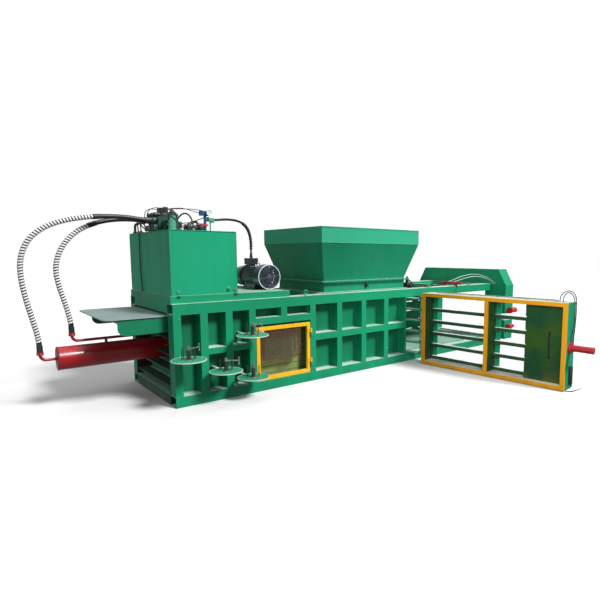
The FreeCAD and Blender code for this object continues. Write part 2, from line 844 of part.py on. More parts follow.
def portal():
    half = half_width + portal_overhang
    z0 = base_rail_height
    z1 = z0 + portal_height
    y2 = half - portal_chamfer_y
    outline = [V(portal_x, -half, z0), V(portal_x, half, z0), V(portal_x, half, z1 - portal_chamfer_z),
               V(portal_x, y2, z1), V(portal_x, -y2, z1), V(portal_x, -half, z1 - portal_chamfer_z)]
    body = Part.Face(Part.makePolygon(outline + outline[:1])).extrude(V(portal_thick, 0, 0))
    body = body.cut(box(portal_x, front_x, -half_chamber, half_chamber, z0, top_rail_bottom))
    pocket = lock_barrel_radius + lock_pocket_room
    lock_y = (door_outer - door_face) / 2
    body = body.cut(box(portal_x, front_x, -half, lock_y + pocket + lock_pocket_depth,
                        lock_height - pocket, lock_height + pocket))
    return body


def portal_lock_units():
    """Two short cylinders on the portal's near face, above and below the door's lock."""
    units = []
    face = -half_width - portal_overhang
    for z, radius, x0, x1 in lock_units:
        y = face - radius - 13
        parts = [rod(radius, (x0, y, z), (x1, y, z)),
                 rod(radius + 12, (x0, y, z), (x0 + 22, y, z)),
                 rod(radius * 0.35, (x1, y, z), (x1 + 60, y, z)),
                 box(x0 + 60, x1 - 50, y, face, z - radius * 0.7, z + radius * 0.7)]
        units.append(fuse(parts))
    return units


def hinge_arms():
    """Plates from the end of the body to the door's hinge line."""
    arms = []
    boss = hinge_boss_radius
    for i in range(hinge_arm_count):
        z0 = hinge_first_height + i * hinge_arm_pitch
        z1 = z0 + hinge_arm_thick
        arm = prism([(feed_end_x, -wall_outer), (feed_end_x, -half_width),
                     (hinge_x - boss, hinge_y), (hinge_x + boss, hinge_y),
                     (hinge_x + boss, -half_width - 60), (hinge_x - 10, -wall_outer)], z0, z1)
        arm = fuse([arm, rod(boss, (hinge_x, hinge_y, z0), (hinge_x, hinge_y, z1))])
        arms.append(arm.cut(rod(hinge_pin_radius + running_gap, (hinge_x, hinge_y, z0 - 1),
                                (hinge_x, hinge_y, z1 + 1))))
    return arms


def hinge_pin():
    top = hinge_first_height + (hinge_arm_count - 1) * hinge_arm_pitch + hinge_arm_thick
    high = top + hinge_arm_thick + 2 * hinge_seat_gap
    return fuse([rod(hinge_pin_radius, (hinge_x, hinge_y, 120), (hinge_x, hinge_y, high)),
                 rod(hinge_boss_radius - 6, (hinge_x, hinge_y, high), (hinge_x, hinge_y, high + 16))])


def opened(shape):
    """Turns a piece of the closed bale door to where the door stands open."""
    shape.rotate(V(hinge_x, hinge_y, 0), Z_AXIS, -door_open_angle)
    return shape


def bale_door_frame():
    x0, x1 = door_x
    y0, y1 = door_outer, -door_face
    m = door_member
    frame = box(x0, x1, y0, y1, door_bottom, door_top)
    post = (x0 + x1) / 2
    for a, b in ((x0 + m, post - m / 2), (post + m / 2, x1 - m)):
        frame = frame.cut(box(a, b, y0, y1, door_bottom + m, door_top - m))
    parts = [frame]
    plate_y = y0 + door_plate_setback
    for x in (x0 + m, post + m / 2):
        parts.append(box(x, x + back_flange_width, y1 - back_flange, y1, door_bottom + m, door_top - m))
    parts.append(box(x0 + door_plate_at, x1 - m, plate_y, plate_y + door_plate,
                     door_bottom + m, door_top - m))
    for i in range(hinge_arm_count):
        z0 = hinge_first_height + i * hinge_arm_pitch + hinge_arm_thick + hinge_seat_gap
        lug = prism([(hinge_x, hinge_y - hinge_boss_radius), (x0, hinge_y - hinge_boss_radius),
                     (x0, hinge_y + hinge_boss_radius), (hinge_x, hinge_y + hinge_boss_radius)],
                    z0, z0 + hinge_arm_thick)
        parts.append(lug)
        parts.append(rod(hinge_boss_radius, (hinge_x, hinge_y, z0),
                         (hinge_x, hinge_y, z0 + hinge_arm_thick)))
    door = fuse(parts)
    door = door.cut(rod(hinge_pin_radius + running_gap, (hinge_x, hinge_y, 0),
                        (hinge_x, hinge_y, body_height)))
    lock_y = (y0 + y1) / 2
    door = door.cut(rod(lock_rod_radius + running_gap, (x1 - m - 1, lock_y, lock_height),
                        (x1 + 1, lock_y, lock_height)))
    slot_x = x1 - door_slot_from_end - door_slot_width / 2
    door = door.cut(box(slot_x, slot_x + door_slot_width, plate_y - 1, plate_y + door_plate + 1,
                        lock_height - door_slot_height / 2, lock_height + door_slot_height / 2))
    for z in wire_heights[:-1]:
        edge_z = z + wire_pitch / 2 + slat_height
        door = door.cut(rod(edge_notch, (x0 + door_plate_at, plate_y - 1, edge_z),
                            (x0 + door_plate_at, plate_y + door_plate + 1, edge_z)))
    return opened(door)


def door_slats():
    x0, x1 = door_x
    m = door_member
    y1 = -door_face - back_flange
    y0 = y1 - slat_depth
    low = door_bottom + m
    parts = [box(x0 + m, x1 - m, y0, y1, low, low + ledge_height)]
    for z in wire_heights[:-1]:
        parts.append(box(x0 + m, x1 - m, y0, y1, z + (wire_pitch - slat_height) / 2,
                         z + (wire_pitch + slat_height) / 2))
    post = (x0 + x1) / 2
    slats = fuse(parts).cut(box(post - m / 2, post + m / 2, y0, y1, 0, body_height))
    return opened(slats)


def door_lock_cylinder():
    x1 = door_x[1]
    y = (door_outer - door_face) / 2
    z = lock_height
    body = fuse([rod(lock_flange_radius, (x1, y, z), (x1 + lock_flange, y, z)),
                 rod(lock_barrel_radius, (x1 + lock_flange, y, z),
                     (x1 + lock_flange + lock_barrel_length, y, z)),
                 rod(door_hose_radius + 5, (x1 + lock_flange / 2, y, z),
                     (x1 + lock_flange / 2, y, z + lock_flange_radius + lock_fitting_height))])
    return opened(body.cut(rod(lock_rod_radius + running_gap, (x1 - 1, y, z),
                               (x1 + lock_flange + lock_barrel_length - 20, y, z))))


def door_lock_rod():
    """The rod in the lock cylinder and the bar that it pushes, which shows in the plate's slot."""
    x1 = door_x[1]
    y = (door_outer - door_face) / 2
    z = lock_height
    bar_x = x1 - door_slot_from_end
    shaft = rod(lock_rod_radius, (bar_x + 20, y, z), (x1 + lock_flange + lock_barrel_length - 110, y, z))
    bar = box(bar_x - lock_bar_half, bar_x + lock_bar_half, y + 8, y + 40,
              z - door_slot_height / 2, z + door_slot_height / 2)
    return opened(fuse([shaft, bar]))


# Inspection door

inspection_x = (window_left + inspection_gap, window_right - inspection_gap - 1)
inspection_z = (base_rail_height + inspection_gap, base_rail_height + inspection_gap + inspection_height)
small_hinge_x = window_right
small_hinge_y = -half_width - knuckle_radius - 1


def inspection_door():
    x0, x1 = inspection_x
    z0, z1 = inspection_z
    w = inspection_frame
    y0, y1 = -half_width, -half_width + inspection_depth
    frame = box(x0, x1, y0, y1, z0, z1).cut(box(x0 + w, x1 - w, y0, y1, z0 + w, z1 - w))
    parts = [frame]
    for z in small_hinge_heights:
        low = z + hinge_seat_gap
        parts.append(box(x1 - 40, small_hinge_x, y0 - hinge_leaf, y0, low, z + knuckle_length))
        parts.append(rod(knuckle_radius, (small_hinge_x, small_hinge_y, low),
                         (small_hinge_x, small_hinge_y, z + knuckle_length)))
    door = fuse(parts)
    for z in small_hinge_heights:
        door = door.cut(rod(small_pin_radius + running_gap, (small_hinge_x, small_hinge_y, z - 1),
                            (small_hinge_x, small_hinge_y, z + knuckle_length + 1)))
    knob_x = x0 + w / 2
    knob_z = z1 - 30
    near, far = y0 - knob_out[0], y0 - knob_out[1]
    return fuse([door, rod(knob_stem_radius, (knob_x, y0, knob_z), (knob_x, near, knob_z)),
                 rod(knob_radius, (knob_x, near, knob_z), (knob_x, far, knob_z))])


def inspection_mesh():
    x0, x1 = inspection_x
    z0, z1 = inspection_z
    w = inspection_frame
    y = -half_width + inspection_depth / 2
    return box(x0 + w, x1 - w, y, y + mesh_sheet, z0 + w, z1 - w)


def inspection_hinges():
    """The fixed halves of the inspection door's hinges, with their pins."""
    halves = []
    for z in small_hinge_heights:
        leaf = box(small_hinge_x, small_hinge_x + 42, -half_width - hinge_leaf, -half_width,
                   z - knuckle_length, z)
        knuckle = rod(knuckle_radius, (small_hinge_x, small_hinge_y, z - knuckle_length),
                      (small_hinge_x, small_hinge_y, z))
        pin = rod(small_pin_radius, (small_hinge_x, small_hinge_y, z - knuckle_length),
                  (small_hinge_x, small_hinge_y, z + knuckle_length + 5))
        halves.append(fuse([leaf, knuckle, pin]))
    return halves


# Wire reels

def reel_bracket(x, height, to_wall):
    y = -half_width - reel_out
    back = -wall_outer if to_wall else -half_width
    top = height - reel_seat_gap
    arm = box(x - reel_arm / 2, x + reel_arm / 2, y - reel_arm / 2, back, top - reel_arm, top)
    return fuse([arm, rod(reel_spindle_radius, (x, y, top), (x, y, height + reel_hub_height + 30))])


def wire_reel(x, height):
    y = -half_width - reel_out
    parts = [rod(reel_radius, (x, y, height), (x, y, height + reel_disc)),
             rod(reel_hub_radius, (x, y, height), (x, y, height + reel_hub_height))]
    for i in range(reel_rod_count):
        angle = math.radians(i * 360.0 / reel_rod_count)
        px = x + reel_rod_circle * math.cos(angle)
        py = y + reel_rod_circle * math.sin(angle)
        parts.append(rod(reel_rod_radius, (px, py, height), (px, py, height + reel_rod_height)))
    bore = rod(reel_spindle_radius + running_gap, (x, y, height - 1), (x, y, height + reel_hub_height + 1))
    return fuse(parts).cut(bore)


# Hoses

hose_port_y = (-75.0, 75.0)
hose_port_z = lid_top + hose_port_height
cap_hose_start = (tail_x + tail_recess - cap_elbow_reach - pipe_elbow_radius, 0.0,
                  cylinder_height + pipe_elbow_radius + hose_fitting_length)
rod_hose_start = (rear_x - pipe_rear_overhang, 0.0,
                  pipe_height + pipe_elbow_radius + hose_fitting_length)
hose_end_x = manifold_x[0] - port_length
conduit_start = (gauge_x + 50.0, gauge_y, lid_top + conduit_boss_height)
conduit_end = (motor_x, terminal_y, terminal_top + terminal_boss)

cap_hose_points = [cap_hose_start, (-4622, 0, 826), (-4646, -4, 985), (-4684, -8, 1160),
                   (-4722, -14, 1350), (-4752, -20, 1560), (-4750, -28, 1770), (-4690, -36, 1955),
                   (-4575, -44, 2090), (-4420, -52, 2180), (-4230, -58, 2240), (-4020, -64, 2275),
                   (-3810, -70, 2290), (-3620, -74, 2286), (-3460, -75, hose_port_z),
                   (hose_end_x, -75, hose_port_z)]
rod_hose_points = [rod_hose_start, (-4295, 0, 1010), (-4318, 4, 1155), (-4354, 8, 1310),
                   (-4393, 14, 1470), (-4415, 22, 1640), (-4388, 32, 1800), (-4315, 42, 1950),
                   (-4205, 52, 2078), (-4060, 60, 2172), (-3890, 68, 2235), (-3710, 73, 2266),
                   (-3560, 75, 2272), (-3440, 75, hose_port_z), (hose_end_x, 75, hose_port_z)]
conduit_points = [conduit_start, (-2615, gauge_y, conduit_start[2]), (-2490, -318, 2302),
                  (-2360, -272, 2308), (-2230, -212, 2300), (-2110, -145, 2270), (-2010, -80, 2205),
                  (-1943, -22, 2110), (-1908, 18, 2000), (motor_x, terminal_y, 1895), conduit_end]


def on_door(s, out, z):
    """A point of the open door: s along it, out from its middle plane, and a height."""
    turn = math.radians(-door_open_angle)
    px = hinge_to_door + s
    py = (door_outer - door_face) / 2 + out - hinge_y
    return (hinge_x + px * math.cos(turn) - py * math.sin(turn),
            hinge_y + px * math.sin(turn) + py * math.cos(turn), z)


def door_hose():
    """From the door's top edge over its free end and down to the lock cylinder's flange."""
    s = door_length
    end_z = lock_height + lock_flange_radius + lock_fitting_height
    port = s + lock_flange / 2
    return tube_along([on_door(s - 115, 0, door_top), on_door(s - 115, 0, door_top + 46),
                       on_door(s - 100, 4, door_top + 98), on_door(s - 56, 8, door_top + 132),
                       on_door(s - 8, 11, door_top + 116), on_door(s + 25, 12, door_top + 62),
                       on_door(s + 38, 12, door_top - 18), on_door(s + 41, 11, door_top - 115),
                       on_door(s + 39, 8, door_top - 225), on_door(s + 33, 4, door_top - 325),
                       on_door(s + 22, 1, door_top - 412), on_door(port, 0, end_z + 45),
                       on_door(port, 0, end_z)], door_hose_radius)


os.makedirs("parts", exist_ok=True)
save("base_frame", base_frame())
save("floor_plate", chamber_floor())
save("near_side_wall", side_wall())
save("far_side_wall", mirror_y(side_wall()))
save("near_side_frame", side_frame())
save("far_side_frame", mirror_y(side_frame()))
save("rear_roof_deck", roof_deck(rear_x, neck_x[0], [rear_x, neck_x[0] - cross_beam_width]))
save("front_roof_deck", roof_deck(neck_x[1], portal_x, [neck_x[1], (neck_x[1] + portal_x) / 2,
                                                        portal_x - cross_beam_width]))
save("hopper_neck", hopper_neck())
save("hopper_funnel", hopper_funnel())
save("cylinder_crosshead", crosshead())
save("main_cylinder_barrel", barrel())
save("cylinder_gland", gland())
save("cap_end_elbow", cap_elbow())
save("rod_side_pipe", rod_pipe())
save("piston", piston())
save("piston_rod", piston_rod())
save("ram_body", ram_body())
save("ram_cover", ram_cover())
save("power_unit_skid", skid())
save("oil_tank", tank())
save("tank_lid", tank_lid())
save("tank_clamps", tank_clamps())
save("drain_plug", drain_plug())
save("return_filter", return_filter())
save("filter_cap", filter_cap())
save("valve_manifold", manifold())
save("solenoid_valves", solenoid_valves())
save("pressure_gauge", pressure_gauge())
save("ball_valve", ball_valve())
save("ball_valve_handle", valve_handle())
save("motor_body", motor_body())
save("motor_fan_cover", fan_cover())
save("motor_rotor", motor_rotor())
save("cooling_fan", cooling_fan())
save("motor_terminal_box", terminal_box())
save("bell_housing", bell_housing())
save("shaft_coupling", shaft_coupling())
save("hydraulic_pump", pump())
save("far_slat_wall", far_slat_wall())
save("end_portal", portal())
save("portal_lock_units", portal_lock_units())
save("hinge_arms", hinge_arms())
save("bale_door_hinge_pin", hinge_pin())
save("bale_door_frame", bale_door_frame())
save("door_slats", door_slats())
save("door_lock_cylinder", door_lock_cylinder())
save("door_lock_rod", door_lock_rod())
save("inspection_door_frame", inspection_door())
save("inspection_mesh", inspection_mesh())
save("inspection_hinges", inspection_hinges())
save("reel_brackets", [reel_bracket(*place) for place in reel_places])
for number, (x, height, to_wall) in enumerate(reel_places, 1):
    save("wire_reel_%d" % number, wire_reel(x, height))
save("cap_side_hose", tube_along(cap_hose_points, hose_radius))
save("rod_side_hose", tube_along(rod_hose_points, hose_radius))
save("motor_conduit", tube_along(conduit_points, conduit_radius))
save("door_lock_hose", door_hose())
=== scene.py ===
import math
import random

import bmesh
import bpy
from mathutils import Matrix, Vector


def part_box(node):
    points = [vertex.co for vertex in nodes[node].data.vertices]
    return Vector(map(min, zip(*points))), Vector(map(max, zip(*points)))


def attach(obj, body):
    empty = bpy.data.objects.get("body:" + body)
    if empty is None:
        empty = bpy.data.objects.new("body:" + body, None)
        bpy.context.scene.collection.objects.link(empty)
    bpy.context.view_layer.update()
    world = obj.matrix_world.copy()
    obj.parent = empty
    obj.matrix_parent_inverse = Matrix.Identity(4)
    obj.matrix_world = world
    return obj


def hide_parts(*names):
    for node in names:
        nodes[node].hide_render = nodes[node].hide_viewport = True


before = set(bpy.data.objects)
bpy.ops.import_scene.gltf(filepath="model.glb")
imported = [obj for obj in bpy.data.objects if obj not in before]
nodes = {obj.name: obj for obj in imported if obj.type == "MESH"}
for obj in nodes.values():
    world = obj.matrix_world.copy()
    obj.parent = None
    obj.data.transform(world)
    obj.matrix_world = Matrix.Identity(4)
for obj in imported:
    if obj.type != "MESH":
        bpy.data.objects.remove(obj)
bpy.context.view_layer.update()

# Looks for the recycling baler, in metres. +X runs to the bale exit, +Y to the far side, +Z up.

dice = random.Random(7)
east, north, up = Vector((1, 0, 0)), Vector((0, 1, 0)), Vector((0, 0, 1))
print("loaded", len(nodes), "frame parts")

# Camera and light

cameraView = {
    "position": (-5.318, -6.35, 1.824),
    "forward": (0.6494, 0.7604),
    "pitch": 6.192,
    "roll": 0.067,
    "lens": 28.19,
    "shift": (-0.0909, 0.0104),
}
lamps = {
    "key": {"from": (0.28, -0.74, 0.72), "strength": 4.1, "angle": 14, "shine": 0.5},
    "overhead": {"from": (0.1, 0.05, 1.0), "strength": 0.7, "angle": 60, "shine": 1.0},
    "rearFill": {"from": (-0.9, -0.15, 0.3), "strength": 0.45, "angle": 60, "shine": 0.0},
}
doorLamp = {
    "from": (-1.35, -4.3, 1.7),
    "to": (0.8, -2.5, 0.6),
    "power": 27.0,
    "wide": 1.2,
    "spread": 100,
    "shine": 0.3,
}
room = {"seen": 1.0, "lit": 0.25, "floor": (0.8, 0.8, 0.8), "half": 60.0}


def placeCamera(view):
    data = bpy.data.cameras.new("camera")
    data.sensor_width = 36.0
    data.lens = view["lens"]
    data.shift_x, data.shift_y = view["shift"]
    data.clip_end = 300.0
    tilt = math.radians(view["pitch"])
    flat = Vector((*view["forward"], 0)).normalized()
    aim = flat * math.cos(tilt) - up * math.sin(tilt)
    roll = Matrix.Rotation(math.radians(view["roll"]), 3, "Z")
    turn = aim.to_track_quat("-Z", "Y").to_matrix() @ roll
    holder = bpy.data.objects.new("camera", data)
    holder.matrix_world = Matrix.Translation(view["position"]) @ turn.to_4x4()
    bpy.context.collection.objects.link(holder)
    bpy.context.scene.camera = holder


def hangLamps(suns):
    for name, lamp in suns.items():
        data = bpy.data.lights.new(name, "SUN")
        data.energy = lamp["strength"]
        data.angle = math.radians(lamp["angle"])
        data.specular_factor = lamp["shine"]
        holder = bpy.data.objects.new(name, data)
        holder.rotation_euler = Vector(lamp["from"]).to_track_quat("Z", "Y").to_euler()
        bpy.context.collection.objects.link(holder)


def hangDoorLamp(lamp):  # soft panel beside the open door
    data = bpy.data.lights.new("doorLamp", "AREA")
    data.energy = lamp["power"]
    data.size = lamp["wide"]
    data.spread = math.radians(lamp["spread"])
    data.specular_factor = lamp["shine"]
    holder = bpy.data.objects.new("doorLamp", data)
    away = Vector(lamp["from"]) - Vector(lamp["to"])
    holder.location = lamp["from"]
    holder.rotation_euler = away.to_track_quat("Z", "Y").to_euler()
    holder.visible_camera = False
    bpy.context.collection.objects.link(holder)


def paintRoom(values):
    world = bpy.data.worlds.new("room")
    world.use_nodes = True
    tree = world.node_tree
    sky = tree.nodes["Background"]
    sky.inputs["Color"].default_value = (1, 1, 1, 1)
    eye = tree.nodes.new("ShaderNodeLightPath")
    level = tree.nodes.new("ShaderNodeMapRange")
    level.inputs["To Min"].default_value = values["lit"]
    level.inputs["To Max"].default_value = values["seen"]
    tree.links.new(eye.outputs["Is Camera Ray"], level.inputs["Value"])
    tree.links.new(level.outputs["Result"], sky.inputs["Strength"])
    bpy.context.scene.world = world
    # plain colours, as the paints are set
    bpy.context.scene.view_settings.view_transform = "Standard"


placeCamera(cameraView)
hangLamps(lamps)
hangDoorLamp(doorLamp)
paintRoom(room)
print("camera and lamps placed")

# Paint: one class for the sums, one method for every other node


class Tone:
    def __init__(self, tree, socket):
        self.tree = tree
        self.socket = socket

    def node(self, kind, settings=None, values=None, out=0):
        made = self.tree.nodes.new(kind)
        for name, value in (settings or {}).items():
            if name == "stops":
                ramp = made.color_ramp
                while len(ramp.elements) < len(value):
                    ramp.elements.new(1.0)
                for element, (place, colour) in zip(ramp.elements, value):
                    element.position = place
                    element.color = (*colour, 1.0)
            else:
                setattr(made, name, value)
        for key, value in (values or {}).items():
            socket = made.inputs[key]
            if isinstance(value, Tone):
                self.tree.links.new(value.socket, socket)
            elif socket.type == "RGBA":
                socket.default_value = (*value, 1.0)
            else:
                socket.default_value = value
        return Tone(self.tree, made.outputs[out])

    def sum(self, operation, a, b):
        return self.node("ShaderNodeMath", {"operation": operation}, {0: a, 1: b})

    def __add__(self, other):
        return self.sum("ADD", self, other)

    def __radd__(self, other):
        return self.sum("ADD", other, self)

    def __sub__(self, other):
        return self.sum("SUBTRACT", self, other)

    def __rsub__(self, other):
        return self.sum("SUBTRACT", other, self)

    def __mul__(self, other):
        return self.sum("MULTIPLY", self, other)

    def __rmul__(self, other):
        return self.sum("MULTIPLY", other, self)

    def __gt__(self, other):
        return self.sum("GREATER_THAN", self, other)

    def __lt__(self, other):
        return self.sum("LESS_THAN", self, other)

    def ease(self, low, high):  # 0 at low, 1 at high, smooth between
        return self.node("ShaderNodeMapRange", {"interpolation_type": "SMOOTHSTEP"},
                         {"Value": self, "From Min": low, "From Max": high})

    def blend(self, a, b):  # colour a where this is 0, b where it is 1
        return self.node("ShaderNodeMix", {"data_type": "RGBA"}, {0: self, 6: a, 7: b}, 2)

    def grain(self, scale, detail=3.0, stretch=None):
        where = self
        if stretch:
            where = self.node("ShaderNodeMapping", None, {"Vector": self, "Scale": stretch})
        return where.node("ShaderNodeTexNoise", None,
                          {"Vector": where, "Scale": scale, "Detail": detail})


def startPaint(name):
    material = bpy.data.materials.new(name)
    material.use_nodes = True
    tree = material.node_tree
    here = Tone(tree, tree.nodes.new("ShaderNodeTexCoord").outputs["Object"])
    return material, here, tree.nodes["Principled BSDF"]


def finishPaint(material, shader, values):
    for name, value in values.items():
        socket = shader.inputs[name]
        if isinstance(value, Tone):
            material.node_tree.links.new(value.socket, socket)
        elif socket.type == "RGBA":
            socket.default_value = (*value, 1.0)
        else:
            socket.default_value = value
    return material


def part(where, axis):  # one number of a place or a direction: 0 is x, 1 is y, 2 is z
    return where.node("ShaderNodeSeparateXYZ", None, {0: where}, axis)


def axes(here):
    return [part(here, axis) for axis in range(3)]


def facing(here, axis=2):  # how far each face looks along an axis
    return part(here.node("ShaderNodeTexCoord", None, None, 1), axis)


def edges(here, radius):  # 1 on the corners of a plate
    rounded = here.node("ShaderNodeBevel", {"samples": 4}, {"Radius": radius})
    flat = here.node("ShaderNodeNewGeometry", None, None, 1)
    alike = rounded.node("ShaderNodeVectorMath", {"operation": "DOT_PRODUCT"},
                         {0: rounded, 1: flat}, 1)
    return (1 - alike).ease(0.01, 0.16)


enamelBase = {
    "colour": (0.003, 0.278, 0.13),
    "shade": (0.002, 0.208, 0.096),
    "dustColour": (0.74, 0.83, 0.78),
    "worn": (0.16, 0.5, 0.34),
    "primer": (0.11, 0.1, 0.085),
    "dust": 0.85,
    "wear": 0.5,
    "edge": 0.007,
    "gloss": 0.38,
    "grime": 0.35,
    "coat": 0.08,
    "shine": 0.3,
    "zone": None,
    "soot": None,
}
splash = {"from": 0.3, "reach": 0.34}  # floor dirt fades out at this height


def enamel(name, **changes):
    look = dict(enamelBase, **changes)
    material, here, shader = startPaint(name)
    broad = here.grain(0.9, 4.0).ease(0.35, 0.68)
    streak = here.grain(7.0, 3.0, (1.0, 1.0, 0.12)).ease(0.42, 0.75)
    fine = here.grain(38.0, 5.0)
    speck = here.grain(130.0, 2.0).ease(0.62, 0.72)
    colour = (broad * 0.55 + streak * 0.35).blend(look["colour"], look["shade"])
    rough = look["gloss"] + fine * 0.14 + streak * 0.08
    if look["zone"]:
        colour = look["zone"](here, colour)
    patches = here.grain(5.0, 5.0).ease(0.38, 0.62)
    grime = (splash["from"] - part(here, 2)).ease(0.0, splash["reach"]) * patches * look["grime"]
    colour = grime.blend(colour, tuple(0.35 * c + 0.012 for c in look["colour"]))
    chips = speck * here.grain(2.2, 2.0).ease(0.5, 0.7) * 0.5 * look["wear"]
    colour = chips.blend(colour, look["primer"])
    # painted highlight and wear: plate edges mix toward a lighter colour
    rub = edges(here, look["edge"]) * here.grain(16.0, 4.0).ease(0.3, 0.62) * look["wear"]
    colour = rub.blend(colour, look["worn"])
    # painted highlight and dust: upward faces mix toward a pale colour, standing in for the top
    # light as well as real dust
    cloud = 0.62 + here.grain(3.2, 6.0).ease(0.25, 0.75) * 0.38
    dust = facing(here).ease(0.55, 0.95) * cloud * look["dust"]
    colour = dust.blend(colour, look["dustColour"])
    # a last colour zone; on the press green it paints the shade inside the rear opening
    if look["soot"]:
        colour = look["soot"](here, colour)
    rough = rough + dust * 0.34 + grime * 0.3
    rounded = here.node("ShaderNodeBevel", {"samples": 4}, {"Radius": look["edge"] * 0.8})
    bump = here.node("ShaderNodeBump", None, {
        "Strength": 0.16, "Distance": 0.004,
        "Height": here.grain(2.4, 2.0) * 1.6 + fine * 0.25 + chips * -0.3, "Normal": rounded})
    return finishPaint(material, shader, {
        "Base Color": colour, "Roughness": rough, "Normal": bump, "Coat Weight": look["coat"],
        "Coat Roughness": 0.12, "Specular IOR Level": look["shine"]})


def bareMetal(name, colour, scratch=(1.0, 18.0, 18.0), gloss=0.3, mark=0.5, zone=None):
    material, here, shader = startPaint(name)
    lines = here.grain(9.0, 6.0, scratch)
    cloud = here.grain(2.4, 5.0)
    tint = (lines * 0.6 + cloud * 0.5).ease(0.35, 0.85)
    dull = tuple(0.62 * c for c in colour)
    stained = here.grain(6.0, 6.0).ease(0.6, 0.75) * mark
    paint = stained.blend(tint.blend(colour, dull), (0.16, 0.13, 0.1))
    metal = 1.0 - stained * 0.6
    rough = gloss + lines * 0.22 + stained * 0.3
    if zone:
        paint, metal, rough = zone(here, paint, metal, rough)
    bump = here.node("ShaderNodeBump", None, {"Strength": 0.1, "Distance": 0.002, "Height": lines})
    return finishPaint(material, shader, {
        "Base Color": paint, "Metallic": metal, "Roughness": rough, "Normal": bump})


def blackWork(name, colour=(0.012, 0.012, 0.013), gloss=0.42, speckle=0.5, size=90.0):
    material, here, shader = startPaint(name)
    fine = here.grain(size, 4.0)
    scuff = here.grain(11.0, 5.0, (1.0, 1.0, 0.4)).ease(0.52, 0.78) * speckle
    light = tuple(min(1.0, 2.6 * c + 0.035) for c in colour)
    paint = (scuff * 0.7).blend(fine.blend(colour, tuple(1.7 * c for c in colour)), light)
    # painted highlight and dust: upward faces mix toward a pale grey
    dust = facing(here).ease(0.5, 1.0) * here.grain(14.0, 4.0).ease(0.35, 0.7) * 0.35
    paint = dust.blend(paint, (0.3, 0.29, 0.26))
    bump = here.node("ShaderNodeBump", None, {"Strength": 0.22, "Distance": 0.001, "Height": fine})
    return finishPaint(material, shader, {
        "Base Color": paint, "Roughness": gloss + scuff * 0.25 + dust * 0.3, "Normal": bump})


# Zones of one part that carry another paint

doorTurn = math.radians(-85.3)
doorHinge = (0.656, -1.095)
doorSpan = {"start": 0.05, "length": 2.36, "front": -0.06, "back": 0.24, "middle": 0.09,
            "top": 1.197, "foot": 0.018, "backRimEnd": 1.9, "skin": 0.004}
doorGreen = (0.003, 0.225, 0.108)


def doorPlace(s, out, z):  # a point of the open bale door
    px, py = doorSpan["start"] + s, doorSpan["middle"] + out
    return Vector((doorHinge[0] + px * math.cos(doorTurn) - py * math.sin(doorTurn),
                   doorHinge[1] + px * math.sin(doorTurn) + py * math.cos(doorTurn), z))


def doorZones(here, colour):
    x, y, z = axes(here)
    c, s = math.cos(doorTurn), math.sin(doorTurn)
    run = (x - doorHinge[0]) * c + (y - doorHinge[1]) * s
    out = (y - doorHinge[1]) * c - (x - doorHinge[0]) * s
    start, end = doorSpan["start"], doorSpan["start"] + doorSpan["length"]
    soot = here.grain(3.0, 5.0).ease(0.35, 0.7)
    inside = soot.blend((0.004, 0.046, 0.016), (0.022, 0.064, 0.006))
    outer = (run > end - doorSpan["skin"]) + (run < start + doorSpan["skin"])
    outer = outer + (z > doorSpan["top"]) + (z < doorSpan["foot"])
    outer = outer + (out > doorSpan["back"] - 0.024) * (run < doorSpan["backRimEnd"])
    paint = outer.blend(inside, doorGreen)
    rim = out < doorSpan["front"] + 0.03 + soot * 0.006
    panel = run > start - 0.002  # the rest is the hinge side
    return (rim * panel).blend((1 - panel).blend(paint, doorGreen), colour)


windowView = {"x": (-2.322, -1.447), "top": 0.9, "planks": 10.5}


def wallZones(here, colour):  # planks behind the inspection window, brown inner faces
    x, y, z = axes(here)
    low, high = windowView["x"]
    window = (x > low) * (x < high) * (z < windowView["top"]) * (y < 0.0)
    plank = here.node("ShaderNodeMath", {"operation": "FRACT"}, {0: z * windowView["planks"]})
    groove = plank.ease(0.0, 0.09) * (1 - plank.ease(0.91, 1.0))
    olive = groove.blend((0.05, 0.075, 0.022), (0.205, 0.265, 0.09))
    tired = here.grain(6.0, 5.0).ease(0.4, 0.68)
    outside = window.blend(colour, (tired * 0.5).blend(olive, (0.1, 0.09, 0.04)))
    inward = (y * facing(here, 1)) < -0.2
    return inward.blend(outside, tired.blend((0.06, 0.03, 0.014), (0.022, 0.014, 0.01)))


def lipZone(here, colour):  # painted light: the hopper's upright lip takes a lighter green for the light it catches above the downward-tilted flare
    return ((part(here, 2) > 2.012) * 0.85).blend(colour, (0.03, 0.385, 0.22))


def rearSoot(here, colour):  # painted shade: near-black inside the rear opening round the ram cylinder
    x, y, z = axes(here)
    inside = (x < -3.24) * (y * y < 0.435) * (z < 0.935)
    return (inside * 0.88).blend(colour, (0.003, 0.022, 0.014))


def coverZones(here, paint, metal, rough):  # green skirts under a bare sheet
    skirt = part(here, 2) < 1.0935
    cloud = here.grain(1.4, 4.0).ease(0.35, 0.7)
    tone = cloud.blend((0.002, 0.19, 0.088), (0.001, 0.13, 0.056))
    return skirt.blend(paint, tone), metal * (1 - skirt) * 0.5, rough * (1 - skirt * 0.2)


def reelZones(top):  # green disc, dark posts
    return lambda here, colour: (part(here, 2) > top + 0.0085).blend(colour, (0.03, 0.033, 0.032))


def dialZone(here, colour):  # pale dial on the blue gauge block
    return (part(here, 1) < -0.3917).blend(colour, (0.72, 0.74, 0.74))
